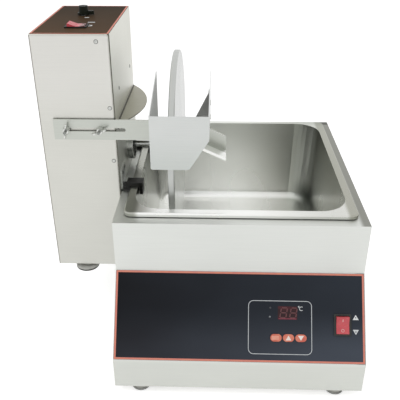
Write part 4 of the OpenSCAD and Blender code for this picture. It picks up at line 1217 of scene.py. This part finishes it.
@dataclass
class Housing(SubAssembly):
    """The heated housing with its feet, screws, tank and what is sealed inside."""

    def build(self) -> None:
        """Dress the housing's nodes."""
        # Painted shade makes the sheet darker at its bottom, and painted reflection makes the deck's right
        # and back strips darker
        self.dress(BrushedStainless("housing_brushed_304", "#DDDFDB", dark="#D8DAD6", rough=0.42,
                                    painted_light=(PaintedLight(Axis.Z, 70.0, 56.0, "#F3F3F1"),),
                                    deck_painted_light=(PaintedLight(Axis.X, 334.0, 342.0, "#ACABA6"),
                                                PaintedLight(Axis.Y, 371.0, 374.0, "#A4A6A2"))), "body_casing")
        self.dress(BrushedStainless("base_brushed_304", "#C9C8C2", dark="#B5B4AE", rough=0.4), "base_cover")
        self.dress(DrawnStainless("tank_drawn_304", "#C2C3BF"), "inner_tank")
        self.dress(MachinedSteel("bright_headed_steel", "#C4C6C2"), "base_screws")
        self.dress(OxidisedSteel("fired_heater_sheath", "#7A6A58"), "heating_element", "temperature_probe")
        self.dress(MouldedPlastic("pale_moulded_nylon", "#C4C4BE", worn="#B2B2AB", rough=0.5), "body_feet",
                   "tower_feet")
        self.dress(PressedRubber("grey_pad_rubber", "#A4A5A1", dust="#8E8F8B",
                                 foot_shade_mm=(1.2, 2.4)), "foot_pads")
        self.dress(PressedRubber("grey_ring_rubber", "#BDBDB8", dust="#A5A5A0",
                                 foot_shade_mm=(105.6, 106.8)), "tower_foot_rings")


@dataclass
class Pan(SubAssembly):
    """The lift-out pan."""

    def build(self) -> None:
        """Dress the pan, darker where the studio's dark end shows in it."""
        # Its near-white colour is painted light, brighter than the steel's own, and painted reflection and
        # shade make it darker to the right, low on the right wall, on the right rim, at the left and at the
        # back
        self.dress(DrawnStainless("pan_drawn_304", "#FAFAF8", dark="#F5F6F3", rough=0.28,
                                  painted_light=(PaintedLight(Axis.X, 170.0, 310.0, "#DEDEDB"),
                                         PaintedLight(Axis.Z, 148.0, 112.0, "#808481", (Axis.X, 285.0, 318.0)),
                                         PaintedLight(Axis.X, 270.0, 290.0, "#FAFCFB", (Axis.Y, 318.0, 338.0)),
                                         PaintedLight(Axis.X, 319.0, 326.0, "#CACAC2"),
                                         PaintedLight(Axis.X, 36.0, 26.0, "#B4B5AE"),
                                         PaintedLight(Axis.Y, 340.0, 366.0, "#E6E8E4"))), "food_pan")


@dataclass
class Tower(SubAssembly):
    """The wheel unit's tower: sheets, printed top, switch, knob, shield, hooks and drive."""

    # The top's film lies level, so its own directions are X and Y
    face: Face = Face((0.0, 0.0, 474.5), (1.0, 0.0, 0.0), (0.0, 1.0, 0.0), (0.0, 0.0, 1.0))
    border_box: Box = (-105.2, 87.3, -1.8, 276.7)
    border: float = 2.4
    border_r: Point2 = (1.0, 0.4)
    # Each short bar's middle, half length and width
    bars: tuple[tuple[float, float, float, float], ...] = ((-49.6, 187.9, 3.2, 3.4),
                                                           (-36.8, 156.0, 5.0, 4.0))
    ring: tuple[float, float, Point2] = (-35.6, 135.0, (4.2, 1.8))
    # The switch is turned a quarter round, so its right direction is Y
    switch: Face = Face((-52.0, 130.0, 474.0), (0.0, 1.0, 0.0), (1.0, 0.0, 0.0), (0.0, 0.0, 1.0))

    def build(self) -> None:
        """Dress the tower's nodes, and print the marks on its top."""
        self.dress_sheets()
        self.dress_fittings()
        self.dress_drive()
        border = Marks("tower_border_line", self.face, 0.0)
        border.frame_line(self.border_box, self.border, self.border_r)
        border.ride("wheel_unit", BORDER_INK)
        small = Marks("tower_white_marks", self.face, 0.0)
        for u, v, half, wide in self.bars:
            small.stroke([(u - half, v), (u + half, v)], wide)
        u, v, radii = self.ring
        small.band(*(ring_points(u, v, r) for r in radii))
        small.ride("wheel_unit", WHITE_INK)
        Rocker("unit_rocker", "unit_switch", self.switch).build()

    def dress_sheets(self) -> None:
        """Dress the folded sheets, with painted shade at the seam and edge where the cover meets the side,
        and the side sheet painted lighter than the cover.
        """
        # Painted shade makes the cover darker low down and at its left front edge
        self.dress(BrushedStainless("tower_brushed_304", "#DBDAD5", dark="#D6D5D0", rough=0.42,
                                    painted_light=(PaintedLight(Axis.Z, 430.0, 330.0, "#F4F5F3"),
                                           PaintedLight(Axis.X, -104.6, -106.2, "#A4A09C", (Axis.Y, 93.0, 89.0)))),
                   "tower_cover", "tower_base")
        # The side sheet's paler colour is painted light on the same steel as the cover, and painted shade
        # makes it darker at its top and at its right front edge
        self.dress(BrushedStainless("tower_side_painted_lighter_304", "#F2F2EB", dark="#ECECE5", rough=0.42,
                                    painted_light=(PaintedLight(Axis.Y, 87.6, 86.6, "#6A6A64", (Axis.X, -3.4, -2.8)),
                                           PaintedLight(Axis.Z, 330.0, 430.0, "#F0F0EE"))), "tower_casing")
        # The shield's olive grey is a painted reflection on the brushed steel, and painted shade makes it
        # darker next to the tower's side
        self.dress(BrushedStainless("shield_brushed_304", "#A3A192", dark="#969485", rough=0.34,
                                    painted_light=(PaintedLight(Axis.X, 2.4, 1.4, "#6E6E68"),)), "splash_shield")

    def dress_fittings(self) -> None:
        """Dress the film, the switch, the knob, the hooks and every screw."""
        # The film's colour goes darker from its front to its back.
        self.dress(PrintedFilm("tower_polycarbonate_film", "#5A4634", far="#342A1E", rough=0.5, gloss=0.01,
                               along=Axis.Y, start_mm=86.0, end_mm=278.0), "tower_overlay")
        # The rocker is darker towards its right end: painted shadow where its pressed end sinks into the
        # bezel
        self.dress(MouldedPlastic("tower_red_polycarbonate", "#D2505C", worn="#DA5C66", rough=0.28,
                                  through=0.15, painted_light=(PaintedLight(Axis.X, -48.5, -43.5, "#7A5A5A"),)),
                   "tower_rocker")
        self.dress(MouldedPlastic("black_knob_abs", "#10130C", worn="#1C2016", rough=0.45, gloss=0.15),
                   "speed_knob", "tower_switch_housing", "tower_power_inlet")
        self.dress(MouldedPlastic("black_hook_vinyl", "#131311", worn="#1F1F1C", rough=0.35, grain_mm=1.1,
                                  gloss=0.3), "hook_covers")
        self.dress(MachinedSteel("turned_flange_steel", "#C8CAC6", rough=0.24), "shaft_flange",
                   "hook_brackets")
        # Painted shade makes the screws darker behind their heads, where they meet the sheet
        self.dress(MachinedSteel("front_screw_steel", "#DADCD8", dark="#BEC0BC",
                                 painted_light=(PaintedLight(Axis.Y, 85.5, 85.9, "#4C4C4A"),)), "cover_screws")
        self.dress(MachinedSteel("side_screw_steel", "#C4C6C2", dark="#9A9C98",
                                 painted_light=(PaintedLight(Axis.X, 0.1, -0.3, "#4C4C4A"),)), "side_screws")
        self.dress(MachinedSteel("unit_fastener_steel", "#9A9C98", dark="#6A6C68"), "flange_screws",
                   "hook_screws", "arm_studs", "motor_bracket")

    def dress_drive(self) -> None:
        """Dress the motor, the gearbox and the speed control inside."""
        self.dress(StovedEnamel("grey_motor_enamel", "#4E5156"), "gear_motor")
        self.dress(CastAluminium("blasted_cast_aluminium", "#A4A6A8"), "gearbox", "potentiometer")
        self.dress(CoatedLaminate("speed_board_glass_epoxy", "#1E5A34"), "speed_board")


@dataclass
class Wheel(SubAssembly):
    """The dispensing wheel with its hub, shaft and nut."""

    def build(self) -> None:
        """Dress the wheel's nodes."""
        self.dress(TurnedStainless("wheel_turned_304", "#C9CBC8", dark="#BBBDBA"), "wheel_disc")
        self.dress(TurnedStainless("hub_turned_304", "#C4C6C3", dark="#B4B6B3", rough=0.2), "wheel_hub",
                   "drive_shaft", "wheel_nut")


@dataclass
class ScraperArm(SubAssembly):
    """The slotted arm with its guard, scraper, chute, rivets and wing nuts."""

    def build(self) -> None:
        """Dress the arm's nodes."""
        self.dress(BrushedStainless("arm_brushed_304", "#C3C6BF", dark="#BABDB6", rough=0.36), "arm_plate")
        # Painted shade makes the guard darker at its front and low down
        self.dress(BrushedStainless("guard_brushed_304", "#EFF0EF", dark="#E6E8E7", rough=0.48,
                                    painted_light=(PaintedLight(Axis.Y, 38.0, 36.0, "#E4E5E4"),
                                           PaintedLight(Axis.Z, 368.0, 306.0, "#F2F4F2"))), "guard")
        self.dress(BrushedStainless("scraper_brushed_304", "#B2B2B0", dark="#A2A2A0", rough=0.4),
                   "scraper_plate")
        # Painted shade makes the chute darker behind its front lip
        self.dress(BrushedStainless("chute_brushed_304", "#EFF0EC", dark="#E6E7E3", rough=0.3,
                                    painted_light=(PaintedLight(Axis.Y, 81.5, 82.5, "#CCCECA"),)), "chute")
        self.dress(MachinedSteel("wing_nut_steel", "#E6E7E3", dark="#C0C2BE", rough=0.25), "left_wing_nut",
                   "right_wing_nut", "guard_rivets")


@dataclass(frozen=True)
class Softbox:
    """A square soft lamp that faces a point, in metres and watts."""

    name: str
    place: Point3
    target: Point3
    side: float
    watts: float

    def build(self) -> None:
        """Hang the lamp, which metal doesn't mirror."""
        lamp = bpy.data.lights.new(self.name, "AREA")
        lamp.shape = "SQUARE"
        lamp.size = self.side
        lamp.energy = self.watts
        holder = bpy.data.objects.new(self.name, lamp)
        aim = (Vector(self.target) - Vector(self.place)).to_track_quat("-Z", "Y")
        holder.matrix_world = Matrix.Translation(self.place) @ aim.to_matrix().to_4x4()
        holder.visible_glossy = False
        bpy.context.scene.collection.objects.link(holder)


@dataclass
class Studio:
    """Plain white studio: floor, soft lamps and the camera, in metres and radians."""

    lens: float = 53.34
    eye: Point3 = (0.02005, -0.84445, 0.6524)
    yaw: float = 0.03214406
    pitch: float = 0.49852234
    roll: float = -0.00240170
    floor_half: float = 9.0
    # The room's strength for the object, and for the eye and the metal
    room_light: float = 0.62
    seen_light: float = 1.0
    softboxes: tuple[Softbox, ...] = (
        Softbox("large_softbox", (-0.9, -1.3, 1.9), (0.0, 0.05, 0.2), 1.6, 13.0),
        Softbox("side_softbox", (1.7, -0.2, 1.3), (0.0, 0.05, 0.15), 1.4, 4.0))

    def build(self) -> None:
        """Set up the floor, the room's light, the lamps and the camera."""
        self.build_floor()
        self.build_room()
        for softbox in self.softboxes:
            softbox.build()
        self.build_camera()

    def build_floor(self) -> None:
        """Lay a flat sheet of white paper."""
        mesh = bmesh.new()
        places = (-self.floor_half, 0.0, self.floor_half)
        rows = [[mesh.verts.new((x, y, 0.0)) for x in places] for y in places]
        for near, far in zip(rows, rows[1:]):
            for i in range(2):
                mesh.faces.new((near[i], near[i + 1], far[i + 1], far[i]))
        paper = show("studio_paper", mesh, SeamlessPaper("seamless_white_paper", "#FFFFFF"))

    def build_room(self) -> None:
        """Make the room white to the eye and in the metal, and softly lit for the rest."""
        room = bpy.data.worlds.new("white_room")
        bpy.context.scene.world = room
        nodes = Nodes(room)
        rays = nodes.add("ShaderNodeLightPath")
        seen = nodes.add("ShaderNodeMath", {0: rays.outputs["Is Camera Ray"],
                                            1: rays.outputs["Is Glossy Ray"]}, operation="MAXIMUM")
        clear = nodes.add("ShaderNodeMath", {0: seen.outputs[0], 1: rays.outputs["Is Transmission Ray"]},
                          operation="MAXIMUM")
        soft, white = [nodes.add("ShaderNodeBackground", {"Color": (1, 1, 1, 1), "Strength": light})
                       for light in (self.room_light, self.seen_light)]
        both = nodes.add("ShaderNodeMixShader", {0: clear.outputs[0], 1: soft.outputs[0],
                                                 2: white.outputs[0]})
        nodes.add("ShaderNodeOutputWorld", {"Surface": both.outputs[0]})

    def build_camera(self) -> None:
        """Stand the camera where the picture was taken from."""
        ahead = Vector((-math.sin(self.yaw) * math.cos(self.pitch),
                        math.cos(self.yaw) * math.cos(self.pitch), -math.sin(self.pitch)))
        level = Vector((math.cos(self.yaw), math.sin(self.yaw), 0.0))
        above = level.cross(ahead)
        right = math.cos(self.roll) * level + math.sin(self.roll) * above
        up = math.cos(self.roll) * above - math.sin(self.roll) * level
        camera = bpy.data.cameras.new("camera")
        camera.sensor_width = 36.0
        camera.lens = self.lens
        camera.clip_end = 50.0
        holder = bpy.data.objects.new("camera", camera)
        turn = Matrix((right, up, -ahead)).transposed().to_4x4()
        holder.matrix_world = Matrix.Translation(self.eye) @ turn
        bpy.context.scene.collection.objects.link(holder)
        bpy.context.scene.camera = holder


def main() -> None:
    """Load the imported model, dress it and build its finer pieces."""
    logging.basicConfig(level=logging.INFO, format="%(message)s")
    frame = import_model()
    bpy.context.scene.view_settings.view_transform = "Standard"
    Studio().build()
    for part in (Console, Housing, Pan, Tower, Wheel, ScraperArm):
        part(frame).build()


if __name__ == "__main__":
    main()
